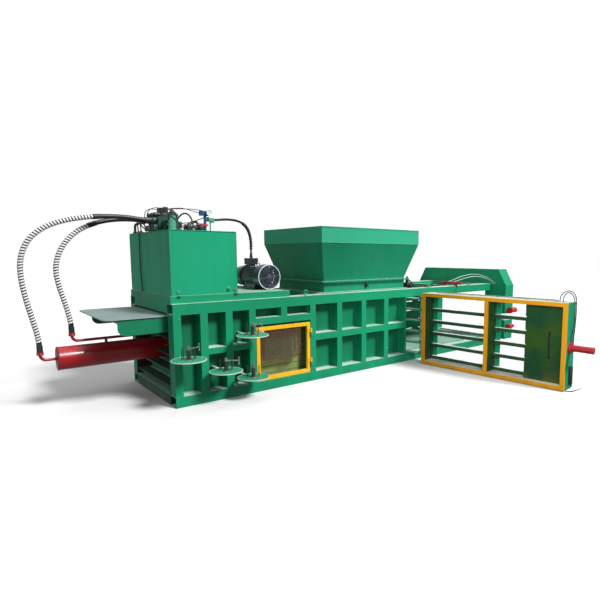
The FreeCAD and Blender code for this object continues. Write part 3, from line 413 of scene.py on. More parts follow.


# the press green carries painted shade inside the rear opening
pressGreen = enamel("pressGreenEnamel", soot=rearSoot)
rearGreen = enamel("rearGreenEnamel", dust=0.5)
neckGreen = enamel(
    "neckGreenEnamel", colour=(0.003, 0.235, 0.115), shade=(0.002, 0.18, 0.085), dust=1.0)
tankGreen = enamel(
    "tankGreenEnamel", colour=(0.004, 0.345, 0.172), shade=(0.002, 0.265, 0.125), dust=0.45,
    edge=0.005)
# the lip zone paints light on the hopper's upright lip
hopperGreen = enamel(
    "hopperGreenEnamel", colour=(0.003, 0.225, 0.112), shade=(0.002, 0.175, 0.084), dust=0.8,
    edge=0.005, zone=lipZone)
# painted shade: the side walls between the ribs take a darker green for the shade of the recessed
# bays
wallGreen = enamel(
    "wallGreenEnamel", zone=wallZones, colour=(0.002, 0.19, 0.085), shade=(0.001, 0.1, 0.044))
darkTeal = enamel(
    "valveTealEnamel", colour=(0.006, 0.06, 0.045), shade=(0.004, 0.03, 0.024),
    dustColour=(0.2, 0.3, 0.27), worn=(0.05, 0.24, 0.18), edge=0.004, shine=0.5)
lockRed = enamel(
    "lockRedEnamel", colour=(0.62, 0.006, 0.008), shade=(0.46, 0.004, 0.006),
    dustColour=(0.8, 0.3, 0.3), worn=(0.7, 0.16, 0.14), edge=0.004, grime=0.0, dust=0.3,
    coat=0.5, shine=0.5)
crimson = enamel(
    "cylinderCrimson", colour=(0.38, 0.003, 0.01), shade=(0.26, 0.002, 0.007),
    dustColour=(0.62, 0.2, 0.2), worn=(0.48, 0.07, 0.08), gloss=0.26, coat=0.3, dust=0.12,
    edge=0.004, grime=0.0, shine=0.5)
doorPaint = enamel(
    "doorYellowOlive", colour=(0.64, 0.285, 0.005), shade=(0.5, 0.215, 0.004),
    worn=(0.46, 0.34, 0.14), dustColour=(0.78, 0.76, 0.64), zone=doorZones, edge=0.005,
    wear=0.4, dust=0.8, shine=0.2, coat=0.03)
# painted highlight and dust: the slat tops go near white through the pale top colour
slatOlive = enamel(
    "slatOliveEnamel", colour=(0.01, 0.07, 0.034), shade=(0.018, 0.048, 0.016),
    worn=(0.4, 0.42, 0.39), dustColour=(0.86, 0.9, 0.85), dust=1.0, gloss=0.45, wear=0.8)
signalYellow = enamel(
    "inspectionYellow", colour=(0.9, 0.5, 0.004), shade=(0.8, 0.41, 0.003),
    worn=(0.84, 0.66, 0.26), dustColour=(0.92, 0.8, 0.46), gloss=0.28, coat=0.3, dust=0.35,
    edge=0.004)
filterGreen = enamel(
    "filterGreenEnamel", colour=(0.085, 0.36, 0.245), shade=(0.06, 0.28, 0.18), gloss=0.3,
    edge=0.003)
gaugeBlue = enamel(
    "gaugeBlueEnamel", colour=(0.01, 0.085, 0.22), shade=(0.006, 0.05, 0.14),
    worn=(0.1, 0.28, 0.44), dustColour=(0.3, 0.42, 0.52), zone=dialZone, edge=0.003)
motorNavy = enamel(
    "motorNavyEnamel", colour=(0.006, 0.02, 0.04), shade=(0.003, 0.01, 0.022),
    worn=(0.12, 0.2, 0.28), dustColour=(0.4, 0.5, 0.56), gloss=0.22, coat=0.8, dust=0.5,
    edge=0.003, shine=0.5)
coverSteel = bareMetal(
    "coverSheetSteel", (0.44, 0.56, 0.55), (1.2, 16.0, 16.0), 0.36, 0.25, coverZones)
groundSteel = bareMetal("groundSteel", (0.56, 0.57, 0.58), (1.0, 1.0, 12.0), 0.18, 0.15)
boltSteel = bareMetal("zincBolts", (0.5, 0.52, 0.5), (3.0, 3.0, 3.0), 0.34, 0.4)
rustMesh = blackWork("rustedMesh", (0.088, 0.04, 0.018), 0.75, 0.6, 60.0)
blackCast = blackWork("blackCast")
hoseBlack = blackWork("hoseRubber", (0.01, 0.01, 0.011), 0.4, 0.6, 160.0)
fanBlack = blackWork("fanPlastic", (0.02, 0.02, 0.021), 0.5)
guardPale = blackWork("spiralGuard", (0.58, 0.59, 0.57), 0.42, 0.5, 60.0)
guardDark = blackWork("fanGuardWire", (0.045, 0.052, 0.056), 0.45, 0.5, 60.0)
# partly painted highlight: a pale ring for the bright edge of each reel disc, partly rubbed paint
discPale = blackWork("discRim", (0.4, 0.46, 0.43), 0.4, 0.5, 60.0)
whiteRim = blackWork("whiteRim", (0.62, 0.64, 0.64), 0.35, 0.3)
palePaint = blackWork("paleHose", (0.33, 0.4, 0.38), 0.4, 0.4, 120.0)
castFinish = ("black_cast", blackCast)
boltFinish = ("ground_steel", boltSteel)
print("paints mixed")

# Each frame part takes its paint

coats = {
    rearGreen: ["rear_roof_deck", "front_roof_deck", "power_unit_skid", "floor_plate"],
    neckGreen: ["hopper_neck"],
    tankGreen: ["oil_tank", "tank_lid"],
    hopperGreen: ["hopper_funnel"],
    wallGreen: ["near_side_wall", "far_side_wall"],
    crimson: ["main_cylinder_barrel", "cylinder_gland", "cap_end_elbow", "rod_side_pipe",
              "door_lock_cylinder"],
    lockRed: ["portal_lock_units", "ball_valve_handle"],
    darkTeal: ["valve_manifold"],
    doorPaint: ["bale_door_frame"],
    slatOlive: ["door_slats"],
    signalYellow: ["inspection_door_frame"],
    filterGreen: ["return_filter", "drain_plug"],
    gaugeBlue: ["pressure_gauge"],
    motorNavy: ["motor_body", "motor_terminal_box", "motor_fan_cover"],
    coverSteel: ["ram_cover"],
    groundSteel: ["piston", "piston_rod", "door_lock_rod", "bale_door_hinge_pin", "motor_rotor",
                  "shaft_coupling"],
    rustMesh: ["inspection_mesh"],
    blackCast: ["filter_cap", "solenoid_valves", "hydraulic_pump", "ball_valve"],
    fanBlack: ["cooling_fan"],
    hoseBlack: ["cap_side_hose", "rod_side_hose", "motor_conduit", "door_lock_hose"],
}
painted = {node: paint for paint, group in coats.items() for node in group}
for number in range(1, 5):
    disc = "wire_reel_%d" % number
    painted[disc] = enamel("reelGreen%d" % number, zone=reelZones(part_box(disc)[0][2]),
                           colour=(0.003, 0.33, 0.16), worn=(0.55, 0.62, 0.58),
                           wear=0.7, dust=0.06, edge=0.004)
for name, shell in nodes.items():
    paint = painted.get(name, pressGreen)
    if not shell.material_slots:
        shell.data.materials.append(paint)
    for slot in shell.material_slots:
        slot.material = paint
print("frame parts painted")

# Tools for new pieces


def along(start, end):  # matrix that lays Z from start to end, at their middle
    start, end = Vector(start), Vector(end)
    turn = (end - start).to_track_quat("Z", "Y").to_matrix().to_4x4()
    return Matrix.Translation((start + end) / 2) @ turn


def softEdges(bm, made, width, segments, least=0.6):
    chosen = {e for v in made for e in v.link_edges
              if len(e.link_faces) == 2 and e.calc_face_angle(0.0) > least}
    if width and chosen:
        bmesh.ops.bevel(bm, geom=list(chosen), offset=width, segments=segments, affect="EDGES",
                        profile=0.5, material=-1)


def addBar(bm, low, high, soft=0.003, segments=2, turn=None):
    low, high = Vector(low), Vector(high)
    size = high - low
    made = bmesh.ops.create_cube(bm, size=1.0)["verts"]
    bmesh.ops.scale(bm, vec=size, verts=made)
    if turn:
        bmesh.ops.transform(bm, matrix=turn, verts=made)
    bmesh.ops.translate(bm, vec=(low + high) / 2, verts=made)
    softEdges(bm, made, soft, segments)


def addRod(bm, start, end, radius, segments=24, endRadius=None, soft=0.0015, steps=1):
    length = (Vector(end) - Vector(start)).length
    made = bmesh.ops.create_cone(bm, cap_ends=True, segments=segments, radius1=radius,
                                 radius2=radius if endRadius is None else endRadius, depth=length,
                                 matrix=along(start, end))["verts"]
    softEdges(bm, made, soft, steps, 0.9)


def addHex(bm, place, out, size):  # bolt head and washer on a face, looking along out
    place, out = Vector(place), Vector(out).normalized()
    foot = place + out * size * 0.14
    addRod(bm, place - out * 0.001, foot, size * 1.05, 12, soft=0)
    head = bmesh.ops.create_cone(bm, cap_ends=True, segments=6, radius1=size * 0.82,
                                 radius2=size * 0.82, depth=size * 0.75,
                                 matrix=along(foot, foot + out * size * 0.75))["verts"]
    top = [e for v in head for e in v.link_edges
           if all((w.co - foot).dot(out) > size * 0.5 for w in e.verts)]
    bmesh.ops.bevel(bm, geom=list(set(top)), offset=size * 0.12, segments=1, affect="EDGES",
                    profile=0.5, material=-1)


def addTorus(bm, centre, axis, ring, wire, steps=40, sides=10):
    frameTurn = along(centre, Vector(centre) + Vector(axis))
    frameTurn.translation = Vector(centre)
    made = bmesh.ops.create_circle(bm, radius=wire, segments=sides,
                                   matrix=frameTurn @ Matrix.Translation((ring, 0, 0))
                                   @ Matrix.Rotation(math.pi / 2, 4, "X"))["verts"]
    loop = list({e for v in made for e in v.link_edges})
    bmesh.ops.spin(bm, geom=made + loop, cent=centre, axis=Vector(axis).normalized(),
                   angle=2 * math.pi, steps=steps, use_merge=True)


def addTube(bm, places, radius, sides=10):  # rings along given places; radius may be a list
    count = len(places)
    radii = radius if isinstance(radius, list) else [radius] * count
    side = None
    rings = []
    for i, place in enumerate(places):
        ahead = (places[min(i + 1, count - 1)] - places[max(i - 1, 0)]).normalized()
        if side is None:
            side = ahead.orthogonal().normalized()
        side = (side - ahead * side.dot(ahead)).normalized()
        matrix = Matrix((side, ahead.cross(side), ahead)).transposed().to_4x4()
        matrix.translation = place
        ring = bmesh.ops.create_circle(bm, radius=radii[i], segments=sides, matrix=matrix,
                                       cap_ends=i in (0, count - 1))["verts"]
        rings.append(ring)
    for low, high in zip(rings, rings[1:]):
        for a in range(sides):
            b = (a + 1) % sides
            bm.faces.new((low[a], low[b], high[b], high[a]))


def addBead(bm, start, end, radius, step=0.022):  # a weld run with its ripples
    start, end = Vector(start), Vector(end)
    count = max(3, int((end - start).length / step))
    places = [start.lerp(end, i / count) for i in range(count + 1)]
    radii = [radius * (0.8 + 0.32 * dice.random()) for _ in places]
    addTube(bm, places, radii, 6)


def around(count, first, side, upright):  # directions round a circle, the first in degrees
    angles = [math.radians(360 / count * step + first) for step in range(count)]
    return [side * math.cos(angle) + upright * math.sin(angle) for angle in angles]


def settle(name, bm, slot, paint, body="frame", smooth=True):
    bmesh.ops.remove_doubles(bm, verts=bm.verts, dist=1e-5)
    bmesh.ops.recalc_face_normals(bm, faces=bm.faces)
    mesh = bpy.data.meshes.new(name)
    bm.to_mesh(mesh)
    bm.free()
    if smooth:
        mesh.polygons.foreach_set("use_smooth", [True] * len(mesh.polygons))
        mesh.set_sharp_from_angle(angle=math.radians(38))
    mesh.materials.append(paint)
    piece = bpy.data.objects.new(name, mesh)
    bpy.context.collection.objects.link(piece)
    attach(piece, body)
    return piece


def makePiece(name, slot, paint, body="frame", bars=(), rods=(), rings=(), bolts=()):
    bm = bmesh.new()
    for add, rows in ((addBar, bars), (addRod, rods), (addTorus, rings), (addHex, bolts)):
        for row in rows:
            add(bm, *row)
    return settle(name, bm, slot, paint, body)


# Cords: hoses and cables, each one smooth line


def routeOf(curve):
    plain = curve.copy()
    plain.bevel_depth = 0.0
    holder = bpy.data.objects.new("route", plain)
    mesh = bpy.data.meshes.new_from_object(holder)
    places = [v.co.copy() for v in mesh.vertices]
    bpy.data.objects.remove(holder)
    bpy.data.curves.remove(plain)
    bpy.data.meshes.remove(mesh)
    return places


def layCord(name, points, diameter, body="frame", paint=None, replaced=None, stiffness="medium"):
    curve = bpy.data.curves.new(name, "CURVE")
    curve.dimensions = "3D"
    line = curve.splines.new("NURBS")
    line.points.add(len(points) - 1)
    for knot, place in zip(line.points, points):
        knot.co = (*place, 1.0)
    line.order_u = 3
    line.use_endpoint_u = True
    curve.resolution_u = line.resolution_u = 8
    curve.bevel_depth = diameter / 2
    curve.bevel_resolution = 3 if diameter > 0.02 else 2
    curve.use_fill_caps = True
    curve.materials.append(paint or hoseBlack)
    cord = bpy.data.objects.new(name, curve)
    bpy.context.collection.objects.link(cord)
    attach(cord, body)
    if replaced:
        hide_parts(replaced)
    places = routeOf(curve)
    return places


def spacedPlaces(places, low, high, step):  # places a fixed step apart, between two lengths
    found = []
    gone = 0.0
    wanted = low
    for a, b in zip(places, places[1:]):
        run = (b - a).length
        while gone + run >= wanted and wanted <= high:
            found.append(a.lerp(b, (wanted - gone) / run))
            wanted += step
        gone += run
    return found


def addRibs(bm, places, low, high, step, pattern, sides):  # ribbed sleeve between two lengths
    track = spacedPlaces(places, low, high, step)
    addTube(bm, track, [pattern[i % len(pattern)] for i in range(len(track))], sides)


def addWrap(bm, places, low, high, radius, pitch, wide, thick, steps=12):
    # a flat band wound round a cord: each step turns the frame a little further
    track = spacedPlaces(places, low, high, pitch / steps)
    side = None
    last = None
    for i, place in enumerate(track):
        ahead = (track[min(i + 1, len(track) - 1)] - track[max(i - 1, 0)]).normalized()
        if side is None:
            side = ahead.orthogonal().normalized()
        side = (side - ahead * side.dot(ahead)).normalized()
        out = Matrix.Rotation(2 * math.pi * i / steps, 3, ahead) @ side
        corners = [place + out * r + ahead * w
                   for r, w in ((radius, -wide / 2), (radius + thick, -wide / 2 + thick / 2),
                                (radius + thick, wide / 2 - thick / 2), (radius, wide / 2))]
        ring = [bm.verts.new(c) for c in corners]
        if last:
            for a in range(4):
                b = (a + 1) % 4
                bm.faces.new((last[a], last[b], ring[b], ring[a]))
        else:
            bm.faces.new(ring)
        last = ring
    bm.faces.new(last)


mainHoses = {
    "capSideHose": {
        "node": "cap_side_hose", "diameter": 0.055, "wrapTo": 2.02,
        "points": [
            (-4.622, 0, 0.716), (-4.622, 0, 0.826), (-4.646, -0.004, 0.985),
            (-4.684, -0.008, 1.16), (-4.722, -0.014, 1.35), (-4.752, -0.02, 1.56),
            (-4.75, -0.028, 1.77), (-4.69, -0.036, 1.955), (-4.575, -0.044, 2.09),
            (-4.42, -0.052, 2.18), (-4.23, -0.058, 2.24), (-4.02, -0.064, 2.275),
            (-3.81, -0.07, 2.29), (-3.62, -0.074, 2.286), (-3.46, -0.075, 2.265),
            (-3.33, -0.075, 2.265)]},
    "rodSideHose": {
        "node": "rod_side_hose", "diameter": 0.055, "wrapTo": 1.42,
        "points": [
            (-4.295, 0, 0.904), (-4.295, 0, 1.01), (-4.318, 0.004, 1.155),
            (-4.354, 0.008, 1.31), (-4.393, 0.014, 1.47), (-4.415, 0.022, 1.64),
            (-4.388, 0.032, 1.8), (-4.315, 0.042, 1.95), (-4.205, 0.052, 2.078),
            (-4.06, 0.06, 2.172), (-3.89, 0.068, 2.235), (-3.71, 0.073, 2.266),
            (-3.56, 0.075, 2.272), (-3.44, 0.075, 2.265), (-3.33, 0.075, 2.265)]},
}
wrapLook = {"from": 0.11, "pitch": 0.032, "wide": 0.019, "thick": 0.0034}
sleeveLook = {"first": (0.0, 0.085), "last": (0.005, 0.105), "step": 0.0085,
              "proud": (0.0025, 0.0045, 0.0045), "collar": 0.035, "nut": 0.04}
for name, hose in mainHoses.items():
    places = layCord(name, hose["points"], hose["diameter"], replaced=hose["node"],
                     stiffness="stiff")
    radius, wrapEnd = hose["diameter"] / 2, hose["wrapTo"]
    bm = bmesh.new()
    addWrap(bm, places, wrapLook["from"], wrapEnd, radius - 0.001,
            wrapLook["pitch"], wrapLook["wide"], wrapLook["thick"])
    settle(name + "Guard", bm, "hose_rubber", guardPale)
    bm = bmesh.new()
    for low, high in (sleeveLook["first"], [wrapEnd + more for more in sleeveLook["last"]]):
        addRibs(bm, places, low, high, sleeveLook["step"],
                [radius + more for more in sleeveLook["proud"]], 20)
    end = places[-1]
    addRod(bm, end - east * 0.1, end, sleeveLook["collar"], 20)
    addRod(bm, end - east * 0.03, end + east * 0.002, sleeveLook["nut"], 6)
    settle(name + "Sleeves", bm, *castFinish)

conduitPoints = [
    (-2.71, -0.34, 2.286), (-2.615, -0.34, 2.286), (-2.49, -0.318, 2.302),
    (-2.36, -0.272, 2.308), (-2.23, -0.212, 2.3), (-2.11, -0.145, 2.27), (-2.01, -0.08, 2.205),
    (-1.943, -0.022, 2.11), (-1.908, 0.018, 2.0), (-1.9, 0.04, 1.895), (-1.9, 0.04, 1.809)]
conduitLook = {
    "beads": (0.62, 1.13, 0.006, (0.0125, 0.019, 0.0235, 0.0245, 0.0235, 0.019), 16),
    "ribs": (0.04, 0.62, 0.012, (0.0135, 0.0171), 12),
}
conduitPlaces = layCord("motorConduit", conduitPoints, 0.026, replaced="motor_conduit",
                        stiffness="stiff")
bm = bmesh.new()
for row in conduitLook.values():
    addRibs(bm, conduitPlaces, *row)
settle("conduitRibs", bm, "hose_rubber", hoseBlack)
bm = bmesh.new()
for a, b in ((conduitPlaces[0], conduitPlaces[2]), (conduitPlaces[-1], conduitPlaces[-3])):
    ahead = (b - a).normalized()
    addRod(bm, a, a + ahead * 0.03, 0.021, 6)
    addRod(bm, a + ahead * 0.03, a + ahead * 0.052, 0.019, endRadius=0.016)
settle("conduitGlands", bm, *castFinish)

doorEnd = doorSpan["length"]
doorHosePoints = [doorPlace(doorEnd + s, out, z) for s, out, z in (
    (-0.115, 0, 1.2), (-0.115, 0, 1.246), (-0.1, 0.004, 1.298), (-0.056, 0.008, 1.332),
    (-0.008, 0.011, 1.316), (0.025, 0.012, 1.262), (0.038, 0.012, 1.182), (0.041, 0.011, 1.085),
    (0.039, 0.008, 0.975), (0.033, 0.004, 0.875), (0.022, 0.001, 0.788), (0.0125, 0, 0.725),
    (0.0125, 0, 0.68))]
layCord("doorLockHose", doorHosePoints, 0.012, "bale_door", replaced="door_lock_hose")
print("main hoses laid")

# Inspection door: expanded sheet over the hand hole, held by the frame's top and left bars

meshPanel = {"x": (-2.268, -1.612), "z": (0.392, 0.822), "y": -0.8185, "cells": (17, 17),
             "strand": 0.0088, "corner": 0.11, "rim": 0.0055, "screws": (-2.262, -1.95, -1.63)}
(x0, x1), (z0, z1) = meshPanel["x"], meshPanel["z"]
bm = bmesh.new()
bmesh.ops.create_grid(bm, x_segments=meshPanel["cells"][0], y_segments=meshPanel["cells"][1],
                      size=0.5)
inner = [e for e in bm.edges if not e.is_boundary]
bmesh.ops.poke(bm, faces=bm.faces[:])
bmesh.ops.dissolve_edges(bm, edges=[e for e in inner if e.is_valid], use_verts=False)
bmesh.ops.scale(bm, vec=(x1 - x0, z1 - z0, 1), verts=bm.verts)
bmesh.ops.rotate(bm, matrix=Matrix.Rotation(math.pi / 2, 3, "X"), verts=bm.verts)
bmesh.ops.translate(bm, vec=((x0 + x1) / 2, meshPanel["y"], (z0 + z1) / 2), verts=bm.verts)
bend = Vector((x1 - meshPanel["corner"], meshPanel["y"], z0 + meshPanel["corner"]))
outside = []
for face in bm.faces:
    away = face.calc_center_median() - bend
    if away.x > 0 and away.z < 0 and away.length > meshPanel["corner"]:
        outside.append(face)
bmesh.ops.delete(bm, geom=outside, context="FACES")
bmesh.ops.wireframe(bm, faces=bm.faces[:], thickness=meshPanel["strand"], use_replace=True,
                    use_boundary=True, use_even_offset=True)
piece = settle("expandedSheet", bm, "brown_mesh", rustMesh, "inspection_door", smooth=False)
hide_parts("inspection_mesh")
bm = bmesh.new()
arc = [bend + Vector((math.cos(a), 0, -math.sin(a))) * meshPanel["corner"]
       for a in (math.pi / 2 * i / 8 for i in range(8, -1, -1))]
track = [Vector((x0, meshPanel["y"], z0))] + arc + [Vector((x1, meshPanel["y"], z1))]
addTube(bm, track, meshPanel["rim"], 8)
for x in meshPanel["screws"]:
    addHex(bm, (x, meshPanel["y"] - 0.003, z1 - 0.012), -north, 0.008)
settle("sheetRim", bm, "brown_mesh", rustMesh, "inspection_door")

lock = {"at": Vector((-2.25, -0.885, 0.838)), "shackle": (0.016, 0.0035),
        "low": Vector((-0.022, -0.01, -0.056)), "high": Vector((0.022, 0.01, -0.014))}
hingeScrews = {"x": (-1.425, -1.412), "y": -0.846, "z": (0.275, 0.245, 0.705, 0.675), "size": 0.006}
makePiece("windowPadlock", *boltFinish,
          rings=[(lock["at"], north, *lock["shackle"], 20, 8)],
          bars=[(lock["at"] + lock["low"], lock["at"] + lock["high"], 0.004, 3)],
          bolts=[((x, hingeScrews["y"], z), -north, hingeScrews["size"])
                 for z in hingeScrews["z"] for x in hingeScrews["x"]])
print("inspection door dressed")

# Wire reels: guide arm, collar and nuts on every spindle

reelLook = {"out": -1.09, "rim": (0.1955, 0.0062), "collar": 0.124, "armRise": 0.009,
            "armReach": 0.155, "armAngle": (20, -35, 60, 15), "posts": 6, "postRing": 0.08}
for number, angle in enumerate(reelLook["armAngle"], 1):
    low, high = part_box("wire_reel_%d" % number)
    reel = "reel_%d" % number
    centre = Vector(((low[0] + high[0]) / 2, reelLook["out"], low[2]))
    reach = around(1, angle, east, north)[0] * reelLook["armReach"]
    lift = centre + up * reelLook["collar"]
    arm = lift + up * reelLook["armRise"]
    tip = arm + reach
    makePiece("reelGuide%d" % number, *boltFinish,
              rods=[(lift, lift + up * 0.018, 0.022, 20), (arm, tip, 0.0075, 12),
                    (tip - up * 0.03, tip + up * 0.035, 0.008, 12)],
              bolts=[(lift + up * 0.0255, up, 0.019), (tip + up * 0.035, up, 0.012)],
              rings=[(tip - up * 0.038, reach, 0.011, 0.003, 16, 8)])
    # pale ring round the disc edge: partly painted highlight, partly rubbed paint
    makePiece("reelRim%d" % number, "press_green", discPale, reel,
              rings=[(centre + up * 0.0035, up, *reelLook["rim"], 56, 8)])
    feet = [centre + out * reelLook["postRing"]
            for out in around(reelLook["posts"], 0, east, north)]
    makePiece("reelFittings%d" % number, *boltFinish, reel,
              rods=[(centre + up * 0.0082, centre + up * 0.013, 0.045, 28)]
              + [(foot + up * 0.008, foot + up * 0.02, 0.009, 10) for foot in feet])
print("reels dressed")

# Motor: white rim and guard rings, hub cap, lifting eye, foot bolts

motorLook = {"x": -1.9, "z": 1.515, "face": -0.4905, "rim": (0.1725, 0.0065),
             "guardRings": (0.05, 0.076, 0.102, 0.128, 0.152), "wire": 0.0026, "spoke": 0.0028,
             "eye": -0.17, "bands": (-0.335, 0.105), "band": (0.1495, 0.007),
             "boxScrews": ((0.045, -0.03), (-0.045, -0.03), (0.045, 0.11), (-0.045, 0.11)),
             "feet": (-0.26, 0.04), "footReach": 0.137, "flange": 0.52, "flangeRing": 0.103}
axle = Vector((motorLook["x"], 0, motorLook["z"]))
face = axle + north * motorLook["face"]
makePiece("fanCoverRim", "fan_cover_paint", whiteRim,
          rings=[(face + north * 0.005, north, *motorLook["rim"], 64, 10)])
makePiece("fanGuard", "fan_cover_paint", guardDark,
          rings=[(face - north * 0.001, north, ring, motorLook["wire"], 48, 6)
                 for ring in motorLook["guardRings"]],
          rods=[(face + north * 0.002, face - north * 0.007, 0.036, 32, 0.03)]
          + [(face - north * 0.002 + out * 0.03, face - north * 0.002 + out * 0.166,
              motorLook["spoke"], 8, None, 0) for out in around(8, 7.5, east, up)])
eye = axle + north * motorLook["eye"]
makePiece("motorEyeAndRings", "motor_navy", motorNavy,
          rings=[(eye + up * 0.172, north, 0.024, 0.007, 24, 8)]
          + [(axle + north * y, north, *motorLook["band"], 48, 8) for y in motorLook["bands"]],
          rods=[(eye + up * 0.14, eye + up * 0.15, 0.02, 16)],
          bolts=[((axle.x + x, y, 1.7785), up, 0.006) for x, y in motorLook["boxScrews"]])
makePiece("motorBolts", *boltFinish,
          bolts=[((axle.x + side * motorLook["footReach"], y, 1.357), up, 0.013)
                 for side in (-1, 1) for y in motorLook["feet"]]
          + [(axle + north * motorLook["flange"] + out * motorLook["flangeRing"], north, 0.007)
             for out in around(8, 22.5, east, up * 0.6)])
print("motor dressed")

# Oil tank: lid bolts and hatch, seam beads, clamp feet, pipes and valve blocks

tankBox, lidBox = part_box("oil_tank"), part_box("tank_lid")
(tankLow, tankHigh), (lidLow, lidHigh) = tankBox, lidBox
lidTop = lidHigh[2]
tankLook = {"inset": 0.03, "sideBolts": 8, "endBolts": 4, "bolt": 0.008,
            "hatch": Vector((-2.8, 0.52, lidTop)), "hatchThick": 0.01, "hatchRadius": 0.155,
            "hatchRing": 0.135, "feet": (tankLow[0] + 0.086, tankHigh[0] - 0.022),
            "cornerBead": 0.0035, "footBead": 0.006}
inset, hatch = tankLook["inset"], tankLook["hatch"]
sidePitch = (lidHigh[1] - lidLow[1] - 4 * inset) / (tankLook["sideBolts"] - 1)
endPitch = (lidHigh[0] - lidLow[0]) / tankLook["endBolts"]
lidBolts = [(x, lidLow[1] + 2 * inset + step * sidePitch, lidTop)
            for x in (lidLow[0] + inset, lidHigh[0] - inset)
            for step in range(tankLook["sideBolts"])]
lidBolts += [(lidLow[0] + step * endPitch, y, lidTop)
             for y in (lidLow[1] + inset, lidHigh[1] - inset)
             for step in range(1, tankLook["endBolts"])]
lidBolts += [hatch + up * tankLook["hatchThick"] + out * tankLook["hatchRing"]
             for out in around(10, 0, east, north)]
makePiece("tankBolts", *boltFinish,
          bolts=[(place, up, tankLook["bolt"]) for place in lidBolts]
          + [((x, y + side * 0.005, tankLow[2] + 0.042), north * side, 0.011)
             for x in tankLook["feet"] for y, side in ((tankLow[1], -1), (tankHigh[1], 1))])
bm = bmesh.new()
addRod(bm, hatch, hatch + up * tankLook["hatchThick"], tankLook["hatchRadius"], 40)
addTorus(bm, hatch + up * 0.014, north, 0.028, 0.005, 20, 8)
for x in tankLook["feet"]:
    foot = Vector((x, tankLow[1], tankLow[2]))
    addBar(bm, foot + Vector((-0.024, -0.034, 0)), foot + Vector((0.024, -0.004, 0.01)))
    addBar(bm, foot + Vector((-0.028, -0.009, 0.056)), foot + Vector((0.028, 0, 0.066)))
addRod(bm, (-2.66, tankLow[1] - 0.022, 1.401), (-2.66, tankLow[1] - 0.03, 1.401), 0.013, 6)
for x in (tankLow[0] - 0.001, tankHigh[0] + 0.001):
    for y in (tankLow[1] - 0.001, tankHigh[1] + 0.001):
        addBead(bm, (x, y, tankLow[2] + 0.01), (x, y, tankHigh[2] - 0.01), tankLook["cornerBead"])
for ends in (((0, 0), (1, 0)), ((0, 1), (1, 1)), ((0, 0), (0, 1)), ((1, 0), (1, 1))):
    start, end = [Vector((tankBox[i][0], tankBox[j][1], tankLow[2] + 0.003)) for i, j in ends]
    addBead(bm, start, end, tankLook["footBead"])
settle("tankSeams", bm, "press_green", tankGreen)

valveLook = {"rows": (-0.0655, 0.05, 0.1655), "coil": (0.0285, 0.014, 0.022),
             "pumps": ((-3.01, -0.47), (-2.93, -0.45), (-2.86, -0.49)),
             "wheel": Vector((-3.187, -0.34, 2.358))}
makePiece("valveBlocks", "press_green", darkTeal,
          bars=[((-3.345, -0.135, 2.135), (-3.292, 0.235, 2.205), 0.006),
                ((-3.048, -0.11, 2.15), (-2.975, 0.215, 2.262), 0.006),
                ((-3.245, -0.235, 2.15), (-3.105, -0.152, 2.262), 0.006),
                ((-2.985, 0.33, lidTop), (-2.865, 0.36, 2.3), 0.004)]
          + [((-3.215, y - 0.033, 2.312), (-3.125, y + 0.033, 2.362), 0.005)
             for y in valveLook["rows"]])
bm = bmesh.new()
coilRadius, coilLong, coilPitch = valveLook["coil"]
for y in valveLook["rows"]:
    for x, side in ((-3.245, -1), (-3.095, 1)):
        for step in range(3):
            place = Vector((x + side * (0.012 + coilPitch * step), y, 2.34))
            addRod(bm, place, place + east * side * coilLong, coilRadius, 20)
        addHex(bm, (x + side * 0.075, y, 2.34), east * side, 0.013)
for x, y in valveLook["pumps"]:  # hand pump and coil bodies
    foot = Vector((x, y, lidTop + 0.045))
    addRod(bm, foot, foot + north * 0.15, 0.034, 24, soft=0.004, steps=2)
    addRod(bm, foot + north * 0.02, foot + north * 0.045, 0.04, 24)
    addBar(bm, (x - 0.02, y + 0.03, lidTop), (x + 0.02, y + 0.12, lidTop + 0.03))
wheel = valveLook["wheel"]
addRod(bm, wheel - up * 0.004, wheel + up * 0.034, 0.03, 20, 0.012)
for out in around(4, 20, east, north):
    addRod(bm, wheel + out * 0.02, wheel + out * 0.062 - up * 0.03, 0.008, 10)
addTorus(bm, wheel - up * 0.028, up, 0.052, 0.006, 36, 8)
addRod(bm, (-2.99, 0.345, 2.3), (-2.86, 0.345, 2.3), 0.02, 20)
settle("valveCoils", bm, *castFinish)

fittings = {  # where hoses leave: the way out, then the places
    (1, 0, 0): ((-2.974, -0.08, 2.2), (-2.974, 0.02, 2.2), (-2.974, 0.12, 2.2)),
    (0, -1, 0): ((-3.2, -0.236, 2.21), (-3.14, -0.236, 2.21)),
    (-1, 0, 0): ((-3.346, 0.02, 2.17), (-3.346, 0.15, 2.17)),
    (0, 0, 1): [(x, y, lidTop) for x, y in (
        (-2.8, -0.2), (-2.74, -0.08), (-2.82, 0.1), (-3.02, -0.6), (-3.16, -0.56),
        (-3.345, 0.4), (-3.345, 0.52))],
}
ports = [(Vector(place), Vector(out)) for out, places in fittings.items() for place in places]
makePiece("hoseFittings", *boltFinish,
          bolts=[(place, out, 0.019) for place, out in ports],
          rods=[(place + out * 0.014, place + out * 0.034, 0.0135, 16, 0.0115)
                for place, out in ports])
pipeRun = [(-3.335, 0.7, lidTop - 0.002), (-3.335, 0.7, 2.195), (-3.334, 0.696, 2.222),
           (-3.331, 0.68, 2.242), (-3.326, 0.655, 2.25), (-3.32, 0.56, 2.254),
           (-3.308, 0.4, 2.258), (-3.28, 0.245, 2.262)]
bm = bmesh.new()
addTube(bm, [Vector(place) for place in pipeRun], 0.0165, 16)
addRod(bm, (-3.335, 0.7, lidTop), (-3.335, 0.7, lidTop + 0.028), 0.028, 6)
addRod(bm, (-3.304, 0.372, 2.2588), (-3.31, 0.412, 2.2576), 0.024, 6)
settle("breatherPipe", bm, *castFinish)

